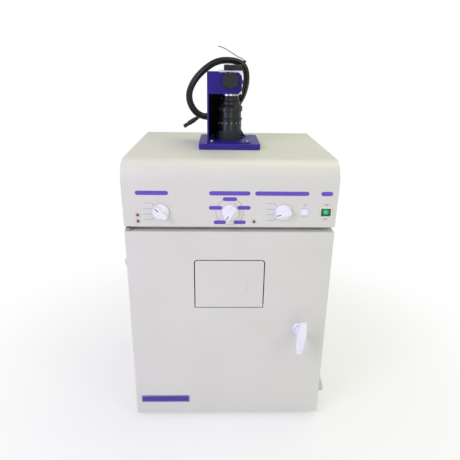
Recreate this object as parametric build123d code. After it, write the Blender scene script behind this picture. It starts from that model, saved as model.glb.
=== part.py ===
from build123d import *
import os
from math import atan, cos, pi, radians, sin, tan

# Gel documentation darkroom: a sheet-metal cabinet with a full-width door, a hood that
# carries the controls and the filter wheel, and a camera on a bracket on top.
# All sizes in millimetres. +X right, +Y to the back, +Z up, floor at Z = 0.

# Cabinet
WIDTH = 450.0
BODY_DEPTH = 370.6
SHEET = 1.5
SHEET_GAP = 0.3
RUNNING_GAP = 0.05
EDGE_RADIUS = 2.5
FRONT_FRAME = 22.0
MOUTH_CORNER = 5.0
TOP_FLANGE = 14.0
RAIL_LAP = 5.0
RAIL_HEIGHT = 12.0
CHEEK_GAP = 1.5
FOOT_HEIGHT = 15.0
FOOT_RADIUS = 12.0
FOOT_INSET = 32.0

# Door, a folded pan in front of the cabinet
DOOR_FRONT_Y = -175.0
DOOR_HEIGHT = 484.2
DOOR_DEPTH = 22.0
DOOR_SHEET = 1.2
DOOR_FLOOR_GAP = 1.0
DOOR_BACK_GAP = 3.0
DOOR_TOP_GAP = 9.8
GASKET_INSET = 9.0
GASKET_WIDTH = 9.0

# Door pivots
PIVOT_INSET = 7.0
PIVOT_BACK = 10.0
PIN_RADIUS = 3.0
PIN_ENTRY = 11.0
BUSH_RADIUS = 6.0
BUSH_LENGTH = 13.0
TAB_WIDTH = 10.0
TAB_THICK = 3.0
TAB_GAP = 3.4

# Viewing flap in the door
FLAP_HALF_WIDTH = 76.1
FLAP_HEIGHT = 114.9
FLAP_TOP_GAP = 68.2
FLAP_GAP = 2.4
FLAP_THICK = 2.4
FLAP_CORNER = 6.0
FLAP_PIN_RADIUS = 1.2
FLAP_PIN_UP = 3.9
FLAP_PIN_BACK = 3.0
OVAL_WIDTH = 80.0
OVAL_HEIGHT = 70.0
OVAL_DROP = 1.9
OVAL_PROUD = 0.9
PANE_THICK = 3.0
PANE_LAP = 2.5

# Door handle and latch
HANDLE_INSET = 62.5
HANDLE_UP = 244.6
ROSE_RADIUS = 14.0
ROSE_THICK = 6.0
HANDLE_LENGTH = 79.0
HANDLE_WIDTH = 21.0
HANDLE_END_WIDTH = 12.0
HANDLE_THICK = 9.0
HANDLE_STANDOFF = 47.0
HANDLE_LEAN = 5.0
SPINDLE_RADIUS = 5.0
SPINDLE_NECK = 3.5
CAM_WIDTH = 18.0
CAM_THICK = 3.0
CAM_BEHIND = 1.9
CAM_END_GAP = 8.5
STRIKE_LENGTH = 48.0
STRIKE_THICK = 1.6

# Hood and its leaning control panel
HOOD_GAP = 0.8
PANEL_SETBACK = 2.8
PANEL_LEAN = 4.0
PANEL_LENGTH = 93.8
BULLNOSE_RADIUS = 43.59
HOOD_LIP = 19.0
HOOD_BACK_LIP = 15.0

# Knobs, with S as the distance up the panel from its lower edge
KNOB_S = 34.6
LEFT_KNOB_INSET = 79.6
RIGHT_KNOB_INSET = 113.1
KNOB_RADIUS = 17.3
KNOB_HEIGHT = 13.0
KNOB_SKIRT = 3.0
KNOB_FLOOR = 7.0
KNOB_BAR = 11.5
KNOB_GAP = 0.6
KNOB_BORE = 7.5
SHAFT_RADIUS = 3.0
SHAFT_FIT = 0.02
BUSH_HOLE = 5.0
LEFT_POINTER = 135.0
RIGHT_POINTER = 195.0
FILTER_POINTER = 234.0

# Indicator lamps and rocker switches
LAMP_RADIUS = 2.6
LAMP_COLLAR = 4.0
LEFT_LAMP_INSET = 30.5
UPPER_LAMP_S = 26.5
LOWER_LAMP_S = 12.4
RIGHT_LAMP_GAP = 61.3
POWER_INSET = 23.1
POWER_S = 34.9
POWER_BEZEL = (26.3, 23.3)
POWER_ROCKER = (20.6, 14.8)
AUX_INSET = 68.5
AUX_S = 35.7
AUX_BEZEL = (17.9, 22.8)
AUX_ROCKER = (13.6, 16.6)
BEZEL_PROUD = 2.0
BEZEL_LAP = 1.5
SWITCH_DEPTH = 16.0
ROCKER_PIVOT_DEPTH = 4.0
ROCKER_PIN = 1.2
ROCKER_TILT = 8.0

# Rotary switches behind the side knobs
SWITCH_RADIUS = 15.0
SWITCH_LENGTH = 22.0
SWITCH_LUGS = 8

# Filter drive: shaft, bevel gears and the wheel with its filters
LENS_Y = 32.0
FILTER_PITCH = 52.0
FILTER_COUNT = 5
FILTER_RADIUS = 25.0
FILTER_THICK = 2.8
WHEEL_RADIUS = 86.0
WHEEL_THICK = 4.0
WHEEL_DROP = 17.0
WHEEL_HUB_RADIUS = 9.0
WHEEL_PIN_RADIUS = 4.0
SUPPORT_RUN = 48.0
GEAR_TEETH = 20
GEAR_CONE = 34.0
GEAR_FACE = 10.0
KNOB_GEAR_HUB = (12.0, 7.0)
WHEEL_GEAR_HUB = (14.0, 5.0)

# Mains inlet and cooling slots in the rear panel
INLET_INSET = 65.0
INLET_UP = 50.0
INLET_SIZE = (60.0, 26.0)
COOLING_SLOT = (70.0, 3.0)
COOLING_ROWS = 7
COOLING_PITCH = 6.0
COOLING_X = 90.0

# Light-tight vent hoods on the side walls
VENT_OUT = 21.5
VENT_SHOULDER = (16.0, 10.0)
VENT_TIP = 34.0
VENT_HEIGHT = 41.0
VENT_LENGTH = 120.0
VENT_SLOT = 10.0
VENT_SLOT_DROP = 17.0
VENT_SLOT_END = 10.0
VENT_RIGHT_Y = -135.0
VENT_RIGHT_Z = 87.0
VENT_LEFT_Y = -95.0
VENT_LEFT_DROP = 148.0

# Lamps and light box in the chamber
TUBE_RADIUS = 8.0
TUBE_ENDS = 82.6
TUBE_CAP = 7.0
REFLECTOR_INSET = 67.0
REFLECTOR_HALF = 44.0
REFLECTOR_ROOF = 28.0
REFLECTOR_DEPTH = 30.0
REFLECTOR_TILT = 14.0
REFLECTOR_SHEET = 1.1
TUBE_SPREAD = 17.0
LIGHT_BOX_MARGIN = 60.0
LIGHT_BOX_SETBACK = 30.0
LIGHT_BOX_DEPTH = 300.0
LIGHT_BOX_HEIGHT = 92.0
LIGHT_BOX_WALL = 2.0
GLASS_MARGIN = 40.0
GLASS_THICK = 3.5
GLASS_LEDGE = 5.0
BOX_TUBES = 6
BOX_TUBE_PITCH = 32.0
BOX_TUBE_UP = 36.0
HOLDER_INSET = 15.0
HOLDER_WIDTH = 12.0
DECK_PORT_RADIUS = 52.0
DECK_RIM = 22.0
BALLAST_SIZE = (40.0, 150.0, 32.0)
BALLAST_TAB = 13.0
BALLAST_INSETS = (45.0, 95.0)
BALLAST_Y = 60.0

# Camera plate and bracket
PLATE_WIDTH = 141.6
PLATE_Y0 = -44.0
PLATE_Y1 = 103.0
PLATE_THICK = 13.5
PLATE_CORNER = 8.0
PORT_RADIUS = 34.0
BRACKET_SHEET = 3.0
BRACKET_FOOT = 2.0
BRACKET_X0 = -52.0
BRACKET_X1 = 26.5
BRACKET_REAR_X1 = 29.5
BRACKET_TOE_X1 = 40.0
BRACKET_FRONT_Y = -15.0
BRACKET_DEPTH = 86.0
BRACKET_BAND = 46.5
BRACKET_NIB = 9.0
BOLT_X = 41.0
BOLT_FRONT_Y = -22.0
BOLT_REAR_Y = 58.0
BOLT_RADIUS = 2.5
BOLT_GAP = 0.2

# Lens, from its front end upwards
LENS_PLATE_GAP = 6.0
LIP_HEIGHT = 3.0
LIP_RADIUS = 28.0
FOCUS_HEIGHT = 56.0
FOCUS_GRIP = 26.0
GRIP_RADIUS = 30.2
SCALE_RADIUS = 29.4
RIDGE_RADIUS = 30.7
RIDGE_HEIGHT = 6.0
FOCUS_SEAT = 26.0
BARREL_HEIGHT = 14.0
BARREL_RADIUS = 28.4
ZOOM_HEIGHT = 16.4
ZOOM_RADIUS = 31.0
ZOOM_SEAT = 25.0
REAR_HEIGHT = 6.7
REAR_RADIUS = 25.7
IRIS_HEIGHT = 10.9
IRIS_RADIUS = 22.4
IRIS_SEAT = 19.0
MOUNT_HEIGHT = 6.5
MOUNT_RADIUS = 22.9
MOUNT_BORE = 12.8
RING_GAP = 0.3

# Camera body, rear cap and connector
CAMERA_X0 = -25.0
CAMERA_X1 = 27.0
CAMERA_DEPTH = 76.7
CAMERA_HEIGHT = 50.0
CAMERA_GAP = 0.3
CAP_INSET = 11.4
CAP_HEIGHT = 12.0
CONNECTOR_X = -5.0
CONNECTOR_UP = 6.0
CONNECTOR_RADIUS = 6.5
CONNECTOR_LENGTH = 27.0
CONNECTOR_BOOT = 9.0
CAMERA_DOWN = 7.0
CAMERA_UP = 8.0

# Clamp knob
CLAMP_DROP = 16.7
CLAMP_RADIUS = 19.0
CLAMP_CORE = 16.9
CLAMP_LOBE_RADIUS = 7.5
CLAMP_LOBES = 7
CLAMP_THICK = 15.0
CLAMP_COLLAR = 3.0
CLAMP_STUD = 3.0
CLAMP_ENTRY = 9.0
CLAMP_SLOT_GAP = 0.4

# Camera cable: routes run from the middle of the camera's lower back edge
CABLE_RADIUS = 3.25
BUNDLE_RADIUS = 8.4
COIL_BACK = 15.4
COIL_CORNERS = [(12, 71.5), (37, 60), (43.5, 26), (33, -15), (6, -50), (-30, -62), (-68, -62), (-92, -42),
                (-101, -9), (-86, 25), (-58, 53), (-27, 71)]
LEAD_ROUTE = [(4, 66, 50), (20, 69, 38), (33, 59, 24), (39.5, 41, 10), (38, 27, -6), (33, 18, -20)]
TAIL_ROUTE = [(-34, 20, -59), (-51, 29, -56.5), (-66, 32, -57.5), (-76, 33.2, -64)]
PLUG_LENGTH = 45.0
PLUG_RADIUS = 5.8
TIE_WIDTH = 4.8
TIE_THICK = 1.4
TIE_ANGLE = 38.0
TIE_TAIL_RADIUS = 0.9
TIE_ROUTE = [(35.8, 13, 66.6), (32.5, 12, 74.5), (19, 11, 80), (3, 10, 89.5), (-13, 9.5, 98.5),
             (-27, 9, 102.6)]

# Places that follow from the sizes above
HALF = WIDTH / 2
DOOR_BACK_Y = DOOR_FRONT_Y + DOOR_DEPTH
BODY_FRONT_Y = DOOR_BACK_Y + DOOR_BACK_GAP
BODY_BACK_Y = BODY_FRONT_Y + BODY_DEPTH
REAR_PANEL_Y1 = BODY_BACK_Y - SHEET - SHEET_GAP
SHELL_FLOOR = FOOT_HEIGHT + SHEET
DOOR_Z0 = FOOT_HEIGHT + DOOR_FLOOR_GAP
DOOR_Z1 = DOOR_Z0 + DOOR_HEIGHT
SHELL_TOP = DOOR_Z1 + DOOR_TOP_GAP
RAIL_TOP = SHELL_TOP + RAIL_HEIGHT
DECK_Z1 = SHELL_TOP + SHEET
PIVOT_X = -HALF + PIVOT_INSET
PIVOT_Y = DOOR_FRONT_Y + PIVOT_BACK
FLAP_Z1 = DOOR_Z1 - FLAP_TOP_GAP
FLAP_Z0 = FLAP_Z1 - FLAP_HEIGHT
FLAP_PIN_Y = DOOR_FRONT_Y + FLAP_PIN_BACK
FLAP_PIN_Z = FLAP_Z0 + FLAP_PIN_UP
RECESS_DEPTH = DOOR_DEPTH - DOOR_SHEET - PANE_THICK
HANDLE_X = HALF - HANDLE_INSET
HANDLE_Z = DOOR_Z0 + HANDLE_UP
CAM_Y = BODY_FRONT_Y + SHEET + CAM_BEHIND
CAM_LENGTH = HANDLE_INSET - CAM_END_GAP
LEAN = radians(PANEL_LEAN)
PANEL_Y = DOOR_FRONT_Y + PANEL_SETBACK
HOOD_Z0 = SHELL_TOP + HOOD_GAP
HOOD_TOP = HOOD_Z0 + PANEL_LENGTH * cos(LEAN) + BULLNOSE_RADIUS * (1 + sin(LEAN))
PANEL = Plane(origin=(0, PANEL_Y, HOOD_Z0), x_dir=(1, 0, 0), z_dir=(0, -cos(LEAN), -sin(LEAN)))
LEFT_KNOB_X = -HALF + LEFT_KNOB_INSET
RIGHT_KNOB_X = HALF - RIGHT_KNOB_INSET
FILTER_KNOB_X = 0.0
POWER_X = HALF - POWER_INSET
AUX_X = HALF - AUX_INSET
LAMP_PLACES = [(-HALF + LEFT_LAMP_INSET, UPPER_LAMP_S), (-HALF + LEFT_LAMP_INSET, LOWER_LAMP_S),
               (RIGHT_KNOB_X - RIGHT_LAMP_GAP, LOWER_LAMP_S)]
WHEEL_Y = LENS_Y - FILTER_PITCH
WHEEL_Z = HOOD_TOP - WHEEL_DROP
KNOB_START = Vector(0, PANEL_Y - KNOB_S * sin(LEAN), HOOD_Z0 + KNOB_S * cos(LEAN))
SHAFT_DIR = Vector(0, cos(LEAN), sin(LEAN))
APEX = KNOB_START + SHAFT_DIR * ((WHEEL_Y - KNOB_START.Y) / cos(LEAN))
GEAR_ANGLE = radians(90 + PANEL_LEAN) / 2
GEAR_BACK = GEAR_CONE * cos(GEAR_ANGLE)
HUB_Z0 = APEX.Z + GEAR_BACK + WHEEL_GEAR_HUB[1]
INLET_X = -HALF + INLET_INSET
INLET_Z = SHELL_TOP + INLET_UP
VENT_LEFT_Z = SHELL_TOP - VENT_LEFT_DROP
TUBE_LENGTH = BODY_DEPTH - TUBE_ENDS
REFLECTOR_X = HALF - REFLECTOR_INSET
LIGHT_BOX_X = HALF - LIGHT_BOX_MARGIN
LIGHT_BOX_Y = BODY_FRONT_Y + LIGHT_BOX_SETBACK + LIGHT_BOX_DEPTH / 2
LIGHT_BOX_Z1 = SHELL_FLOOR + LIGHT_BOX_HEIGHT
GLASS_X = LIGHT_BOX_X - GLASS_MARGIN
GLASS_Y = LIGHT_BOX_DEPTH / 2 - GLASS_MARGIN - GLASS_LEDGE
PLATE_Z0 = HOOD_TOP
PLATE_Z1 = PLATE_Z0 + PLATE_THICK
FOOT_Z1 = PLATE_Z1 + BRACKET_FOOT
BRACKET_BACK_Y = BRACKET_FRONT_Y + BRACKET_DEPTH
BOLT_PLACES = [(x, y) for x in (-BOLT_X, BOLT_X) for y in (BOLT_FRONT_Y, BOLT_REAR_Y)]
LENS_BOTTOM = PLATE_Z0 + LENS_PLATE_GAP
FOCUS_Z0 = LENS_BOTTOM + LIP_HEIGHT
FOCUS_Z1 = FOCUS_Z0 + FOCUS_HEIGHT
ZOOM_Z0 = FOCUS_Z1 + BARREL_HEIGHT + 2 * RING_GAP
ZOOM_Z1 = ZOOM_Z0 + ZOOM_HEIGHT
IRIS_Z0 = ZOOM_Z1 + REAR_HEIGHT + 2 * RING_GAP
IRIS_Z1 = IRIS_Z0 + IRIS_HEIGHT
MOUNT_Z0 = IRIS_Z1 + RING_GAP
CAMERA_Z0 = MOUNT_Z0 + MOUNT_HEIGHT
CAMERA_Z1 = CAMERA_Z0 + CAMERA_HEIGHT
CAMERA_Y0 = BRACKET_FRONT_Y + BRACKET_SHEET + CAMERA_GAP
CAMERA_Y1 = CAMERA_Y0 + CAMERA_DEPTH
BRACKET_TOP = CAMERA_Z0 + BRACKET_BAND
CLAMP_Z = BRACKET_TOP - CLAMP_DROP
CONNECTOR_Z = CAMERA_Z1 + CONNECTOR_UP
CABLE_START = Vector(CONNECTOR_X, CAMERA_Y1 + CONNECTOR_LENGTH + CONNECTOR_BOOT, CONNECTOR_Z)
CABLE_ORIGIN = Vector(0, CAMERA_Y1, CAMERA_Z0)
COIL_Y = CAMERA_Y1 + COIL_BACK
LOW = (Align.CENTER, Align.CENTER, Align.MIN)
HIGH = (Align.CENTER, Align.CENTER, Align.MAX)


def block(x0, x1, y0, y1, z0, z1):
    return Pos((x0 + x1) / 2, (y0 + y1) / 2, (z0 + z1) / 2) * Box(abs(x1 - x0), abs(y1 - y0), abs(z1 - z0))


def rod(radius, start, end):
    run = Vector(end) - Vector(start)
    return Plane(origin=start, z_dir=run) * Cylinder(radius, run.length, align=LOW)


def upright(radius, x, y, z0, z1):
    return Pos(x, y, z0) * Cylinder(radius, z1 - z0, align=LOW)


def on_panel(shape, x, s):
    return PANEL.location * Pos(x, s, 0) * shape


def forward(x, y, z):
    return Pos(x, y, z) * Rot(90, 0, 0)


def turned(points):
    return revolve(make_face(Polyline(*[(r, 0, z) for r, z in points], close=True)), Axis.Z)


def along_y(points, y0, y1):
    outline = make_face(Polyline(*[(x, y0, z) for x, z in points], close=True))
    return extrude(outline, y1 - y0, dir=(0, 1, 0))


# Cabinet shell: U wrap with a front frame, side flanges at the top and a front rail
def cabinet_shell():
    y_back = REAR_PANEL_Y1 - SHEET
    outer = block(-HALF, HALF, BODY_FRONT_Y, y_back, FOOT_HEIGHT, SHELL_TOP)
    outer = fillet(outer.edges().filter_by(Axis.Z).group_by(Axis.Y)[0], EDGE_RADIUS)
    inner = block(-HALF + SHEET, HALF - SHEET, BODY_FRONT_Y + SHEET, y_back + 1, SHELL_FLOOR, SHELL_TOP + 1)
    inner = fillet(inner.edges().filter_by(Axis.Z).group_by(Axis.Y)[0], EDGE_RADIUS - SHEET)
    mouth_x = HALF - FRONT_FRAME
    mouth = block(-mouth_x, mouth_x, BODY_FRONT_Y - 1, BODY_FRONT_Y + SHEET + 1,
                  FOOT_HEIGHT + FRONT_FRAME, SHELL_TOP - FRONT_FRAME)
    mouth = fillet(mouth.edges().filter_by(Axis.Y), MOUTH_CORNER)
    shell = outer - inner - mouth
    for side in (-1, 1):
        x_wall = side * (HALF - SHEET)
        x_edge = x_wall - side * TOP_FLANGE
        shell += block(x_edge, x_wall, BODY_FRONT_Y + 1, y_back, SHELL_TOP - SHEET, SHELL_TOP)
        shell += block(x_edge, x_wall, y_back - SHEET, y_back, FOOT_HEIGHT + 1, SHELL_TOP)
    slot = Box(8 * SHEET, VENT_LENGTH - 2 * VENT_SLOT_END, VENT_SLOT)
    shell -= Pos(HALF, VENT_RIGHT_Y + VENT_LENGTH / 2, VENT_RIGHT_Z - VENT_SLOT_DROP) * slot
    shell -= Pos(-HALF, VENT_LEFT_Y + VENT_LENGTH / 2, VENT_LEFT_Z + VENT_SLOT_DROP) * slot
    rail_x = HALF - SHEET - CHEEK_GAP
    shell += block(-rail_x, rail_x, BODY_FRONT_Y, BODY_FRONT_Y + SHEET, SHELL_TOP - RAIL_LAP, RAIL_TOP)
    return shell


# Rear panel with cooling slots and the two windows of the inlet
def rear_panel():
    y1 = REAR_PANEL_Y1
    x1 = HALF - CHEEK_GAP - SHEET
    panel = block(-x1, x1, y1 - SHEET, y1, FOOT_HEIGHT, HOOD_TOP - SHEET - SHEET_GAP)
    slot = extrude(SlotOverall(*COOLING_SLOT), 2 * SHEET, both=True)
    middle_z = (SHELL_TOP + HOOD_TOP) / 2 + COOLING_ROWS * SHEET
    for side in (-1, 1):
        for row in range(COOLING_ROWS):
            z = middle_z + (row - COOLING_ROWS / 2) * COOLING_PITCH
            panel -= forward(side * COOLING_X, y1, z) * slot
    for x0, x1 in inlet_windows():
        panel -= block(x0 - RUNNING_GAP, x1 + RUNNING_GAP, y1 - 2 * SHEET, y1 + SHEET,
                       INLET_Z - 10 - RUNNING_GAP, INLET_Z + 10 + RUNNING_GAP)
    return panel


# The socket and the fuse drawer stand side by side in the inlet
def inlet_windows():
    return ((INLET_X - 14, INLET_X + 14), (INLET_X + 18, INLET_X + 34))


# Mains inlet with its fuse drawer, pushed into the rear panel from outside
def power_inlet():
    y1 = REAR_PANEL_Y1
    width, height = INLET_SIZE
    x0, z0 = INLET_X - 20, INLET_Z - height / 2
    flange = block(x0, x0 + width, y1, y1 + 1.8, z0, z0 + height)
    inlet = fillet(flange.edges().filter_by(Axis.Y), 3)
    for x0, x1 in inlet_windows():
        inlet += block(x0, x1, y1 - 24, y1, INLET_Z - 10, INLET_Z + 10)
    socket = block(INLET_X - 12, INLET_X + 12, y1 - 16, y1 + 3, INLET_Z - 8, INLET_Z + 8)
    inlet -= chamfer(socket.edges().filter_by(Axis.Y).group_by(Axis.Z)[-1], 4)
    blade = Box(2, 11, 4)
    for x, z in ((-7, -2), (0, 2), (7, -2)):
        inlet += Pos(INLET_X + x, y1 - 11.5, INLET_Z + z) * blade
    return inlet - block(INLET_X + 20, INLET_X + 32, y1 + 0.8, y1 + 3, INLET_Z - 8, INLET_Z + 8)


# Deck between chamber and hood, with upturned sides and the round camera port
def deck_plate():
    x1 = HALF - SHEET - SHEET_GAP
    y0 = BODY_FRONT_Y + SHEET + SHEET_GAP
    y1 = REAR_PANEL_Y1 - SHEET - SHEET_GAP
    deck = block(-x1, x1, y0, y1, SHELL_TOP, DECK_Z1)
    for side in (-1, 1):
        deck += block(side * (x1 - SHEET), side * x1, y0, y1, SHELL_TOP, SHELL_TOP + DECK_RIM)
    deck += upright(DECK_PORT_RADIUS + SHEET, 0, LENS_Y, SHELL_TOP - 14, DECK_Z1)
    return deck - upright(DECK_PORT_RADIUS, 0, LENS_Y, SHELL_TOP - 20, SHELL_TOP + 20)


# Hood: leaning control panel, bullnose and top bent from one sheet, with welded cheeks
def hood_profile(inset, bottom):
    shift = Vector(0, inset * cos(LEAN), inset * sin(LEAN))
    low = Vector(0, PANEL_Y, HOOD_Z0) + shift
    high = low + Vector(0, -sin(LEAN), cos(LEAN)) * PANEL_LENGTH
    radius = BULLNOSE_RADIUS - inset
    centre = high + Vector(0, cos(LEAN), sin(LEAN)) * radius
    middle = centre + Vector(0, -sin(pi / 4), cos(pi / 4)) * radius
    crown = centre + Vector(0, 0, radius)
    back = Vector(0, BODY_BACK_Y - inset, crown.Z)
    foot = Vector(0, BODY_BACK_Y - inset, bottom)
    edges = [Line(low, high), ThreePointArc(high, middle, crown), Line(crown, back), Line(back, foot)]
    if low.Z - bottom > RUNNING_GAP:
        toe = Vector(0, low.Y, bottom)
        edges += [Line(foot, toe), Line(toe, low)]
    else:
        edges += [Line(foot, low)]
    return make_face(Wire(edges))


def hood_cover():
    outer = extrude(hood_profile(0, HOOD_Z0), HALF, dir=(1, 0, 0), both=True)
    inner = extrude(hood_profile(SHEET, HOOD_Z0 - 5), HALF - SHEET, dir=(1, 0, 0), both=True)
    hood = outer - inner
    hood -= block(-HALF + SHEET, HALF - SHEET, BODY_BACK_Y - SHEET - 0.1, BODY_BACK_Y + 1,
                  HOOD_Z0 - 1, HOOD_TOP - HOOD_BACK_LIP)
    hood += block(-HALF + 1, HALF - 1, PANEL_Y + SHEET / 2, PANEL_Y + HOOD_LIP, HOOD_Z0, HOOD_Z0 + SHEET)
    for side in (-1, 1):
        hood += block(side * (HALF - SHEET), side * HALF, BODY_FRONT_Y, BODY_BACK_Y, SHELL_TOP, HOOD_Z0 + 1)
    for x in (LEFT_KNOB_X, FILTER_KNOB_X, RIGHT_KNOB_X):
        hood -= on_panel(Cylinder(BUSH_HOLE, 6 * SHEET), x, KNOB_S)
    for x, s in LAMP_PLACES:
        hood -= on_panel(Cylinder(LAMP_RADIUS + 0.5, 6 * SHEET), x, s)
    for (w, h), x, s in ((POWER_BEZEL, POWER_X, POWER_S), (AUX_BEZEL, AUX_X, AUX_S)):
        hood -= on_panel(Box(w - 2 * BEZEL_LAP, h - 2 * BEZEL_LAP, 6 * SHEET), x, s)
    hood -= upright(PORT_RADIUS, 0, LENS_Y, HOOD_TOP - 2 * SHEET, HOOD_TOP + SHEET)
    for x, y in BOLT_PLACES:
        hood -= upright(BOLT_RADIUS + BOLT_GAP, x, y, HOOD_TOP - 2 * SHEET, HOOD_TOP + SHEET)
    return hood


# Vent hood: a folded wedge on a wall plate, open at its lower end, two alike turned end for end
def vent_hood():
    shoulder_x, shoulder_drop = VENT_SHOULDER
    lip_x = VENT_OUT - 5
    outline = make_face(Polyline((0, 0), (shoulder_x, -shoulder_drop), (VENT_OUT, -VENT_TIP),
                                 (lip_x, -VENT_HEIGHT), (0, -VENT_HEIGHT), close=True))
    lining = offset(outline, -SHEET, kind=Kind.INTERSECTION)
    throat = block(SHEET, lip_x - SHEET, -VENT_HEIGHT - 1, 2 - VENT_HEIGHT, SHEET, VENT_LENGTH - SHEET)
    hollow = Pos(0, 0, SHEET) * extrude(lining, VENT_LENGTH - 2 * SHEET)
    cover = extrude(outline, VENT_LENGTH) - hollow - throat
    slot = block(-1, SHEET + 1, -VENT_SLOT_DROP - VENT_SLOT / 2, -VENT_SLOT_DROP + VENT_SLOT / 2,
                 VENT_SLOT_END, VENT_LENGTH - VENT_SLOT_END)
    return Rot(90, 0, 0) * Pos(0, 0, -VENT_LENGTH) * (cover - slot)


def vent_hoods():
    right = Pos(HALF, VENT_RIGHT_Y, VENT_RIGHT_Z) * vent_hood()
    left = Pos(-HALF, VENT_LEFT_Y, VENT_LEFT_Z) * Rot(0, 180, 0) * vent_hood()
    return [right, left]


# Pivot brackets: a tab under and over the door's left edge, each with its pin
def hinge_brackets():
    x0, x1 = PIVOT_X - TAB_WIDTH / 2, PIVOT_X + TAB_WIDTH / 2
    y0 = PIVOT_Y - BUSH_RADIUS
    shoulder = PIN_RADIUS + 2
    lower = block(x0, x1, y0, BODY_FRONT_Y + 40, FOOT_HEIGHT - TAB_THICK, FOOT_HEIGHT)
    lower += upright(shoulder, PIVOT_X, PIVOT_Y, FOOT_HEIGHT, DOOR_Z0 - RUNNING_GAP)
    lower += upright(PIN_RADIUS, PIVOT_X, PIVOT_Y, FOOT_HEIGHT, DOOR_Z0 + PIN_ENTRY)
    tab_z = DOOR_Z1 + TAB_GAP
    upper = block(x0, x1, y0, BODY_FRONT_Y, tab_z, tab_z + TAB_THICK)
    upper += block(x0, x1, BODY_FRONT_Y - 2, BODY_FRONT_Y, tab_z, RAIL_TOP - 2)
    upper += upright(PIN_RADIUS, PIVOT_X, PIVOT_Y, DOOR_Z1 - PIN_ENTRY, tab_z)
    upper += upright(shoulder, PIVOT_X, PIVOT_Y, DOOR_Z1 + 0.6, tab_z)
    return [lower, upper]


# Rubber feet
def rubber_feet():
    foot = turned([(0, 0), (FOOT_RADIUS - 2, 0), (FOOT_RADIUS, 2), (FOOT_RADIUS - 1.5, FOOT_HEIGHT),
                   (0, FOOT_HEIGHT)])
    x = HALF - FOOT_INSET
    ys = (BODY_FRONT_Y + FOOT_INSET, BODY_BACK_Y - FOOT_INSET)
    return [Pos(side * x, y, 0) * foot for side in (-1, 1) for y in ys]


# Strike behind the right side of the front frame, with a lead-in for the latch cam
def strike_plate():
    x0, x1 = HALF - FRONT_FRAME - 1, HALF - 6
    y0 = BODY_FRONT_Y + SHEET
    y1 = y0 + STRIKE_THICK
    z0 = HANDLE_Z - STRIKE_LENGTH / 2
    outline = make_face(Polyline((x0, y0, z0), (x0 + 6, y1, z0), (x1, y1, z0), (x1, y0, z0), close=True))
    return extrude(outline, STRIKE_LENGTH, dir=(0, 0, 1))


# Overhead lamps: two tilted reflectors with end holders, two tubes in each
def reflector_place(side):
    tilt = Rot(0, side * REFLECTOR_TILT, 0)
    return Pos(side * REFLECTOR_X, LENS_Y, SHELL_TOP - 1.2) * tilt * Pos(side * 4, 0, -13)


def overhead_reflectors():
    wide, roof, deep, t = REFLECTOR_HALF, REFLECTOR_ROOF, REFLECTOR_DEPTH, REFLECTOR_SHEET
    half = TUBE_LENGTH / 2 + 8
    outer = [(-wide, -deep), (-roof, 0), (roof, 0), (wide, -deep)]
    inner = [(wide - t, -deep), (roof - t / 2, -t), (-roof + t / 2, -t), (-wide + t, -deep)]
    trough = along_y(outer + inner, -half, half)
    for end in (-1, 1):
        trough += along_y(outer, end * half - 2 - 2 * end, end * half + 2 - 2 * end)
        for x in (-TUBE_SPREAD, TUBE_SPREAD):
            trough += block(x - 7, x + 7, end * (half - 7.7), end * (half - 3), -26, -1)
    reflectors = []
    for side in (-1, 1):
        reflector = reflector_place(side) * trough
        for y in (LENS_Y - TUBE_LENGTH / 3, LENS_Y + TUBE_LENGTH / 3):
            x = side * REFLECTOR_X
            reflector += block(x - 10, x + 10, y - 12, y + 12, SHELL_TOP - 16.5, SHELL_TOP)
        reflectors.append(reflector)
    return reflectors


# Fluorescent tube: a glass body between two slightly narrower end caps
def tube(length):
    lamp = Cylinder(TUBE_RADIUS, length - 2 * TUBE_CAP)
    for end in (-1, 1):
        lamp += Pos(0, 0, end * (length - TUBE_CAP) / 2) * Cylinder(TUBE_RADIUS - 0.6, TUBE_CAP)
    return lamp


def overhead_tubes():
    lamp = Rot(90, 0, 0) * tube(TUBE_LENGTH)
    seats = [Pos(x, 0, -15) for x in (-TUBE_SPREAD, TUBE_SPREAD)]
    return [reflector_place(side) * seat * lamp for side in (-1, 1) for seat in seats]


# Transilluminator: an open-topped box with a rebate for its filter glass and two rows of holders
def transilluminator_housing():
    x1, y0, y1 = LIGHT_BOX_X, LIGHT_BOX_Y - LIGHT_BOX_DEPTH / 2, LIGHT_BOX_Y + LIGHT_BOX_DEPTH / 2
    z0, z1, t = SHELL_FLOOR, LIGHT_BOX_Z1, LIGHT_BOX_WALL
    box = block(-x1, x1, y0, y1, z0, z1)
    box = fillet(box.edges().filter_by(Axis.Z), 6)
    box -= block(-x1 + t, x1 - t, y0 + t, y1 - t, z0 + t, z1 - 3 * t)
    ledge_x, ledge_y = GLASS_X - GLASS_LEDGE, GLASS_Y - GLASS_LEDGE
    box -= block(-ledge_x, ledge_x, LIGHT_BOX_Y - ledge_y, LIGHT_BOX_Y + ledge_y, z1 - 5 * t, z1 + 1)
    seat_x, seat_y, seat_z = GLASS_X + SHEET_GAP, GLASS_Y + SHEET_GAP, z1 - GLASS_THICK - 0.5
    box -= block(-seat_x, seat_x, LIGHT_BOX_Y - seat_y, LIGHT_BOX_Y + seat_y, seat_z, z1 + 1)
    reach = (BOX_TUBES - 1) * BOX_TUBE_PITCH / 2 + 25
    for side in (-1, 1):
        x = side * (x1 - HOLDER_INSET)
        box += block(x - HOLDER_WIDTH / 2, x + HOLDER_WIDTH / 2, LIGHT_BOX_Y - reach, LIGHT_BOX_Y + reach,
                     z0 + t / 2, z0 + BOX_TUBE_UP + TUBE_RADIUS + 2)
    return box


def uv_filter_glass():
    z1 = LIGHT_BOX_Z1 - 0.5
    return block(-GLASS_X, GLASS_X, LIGHT_BOX_Y - GLASS_Y, LIGHT_BOX_Y + GLASS_Y, z1 - GLASS_THICK, z1)


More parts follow.
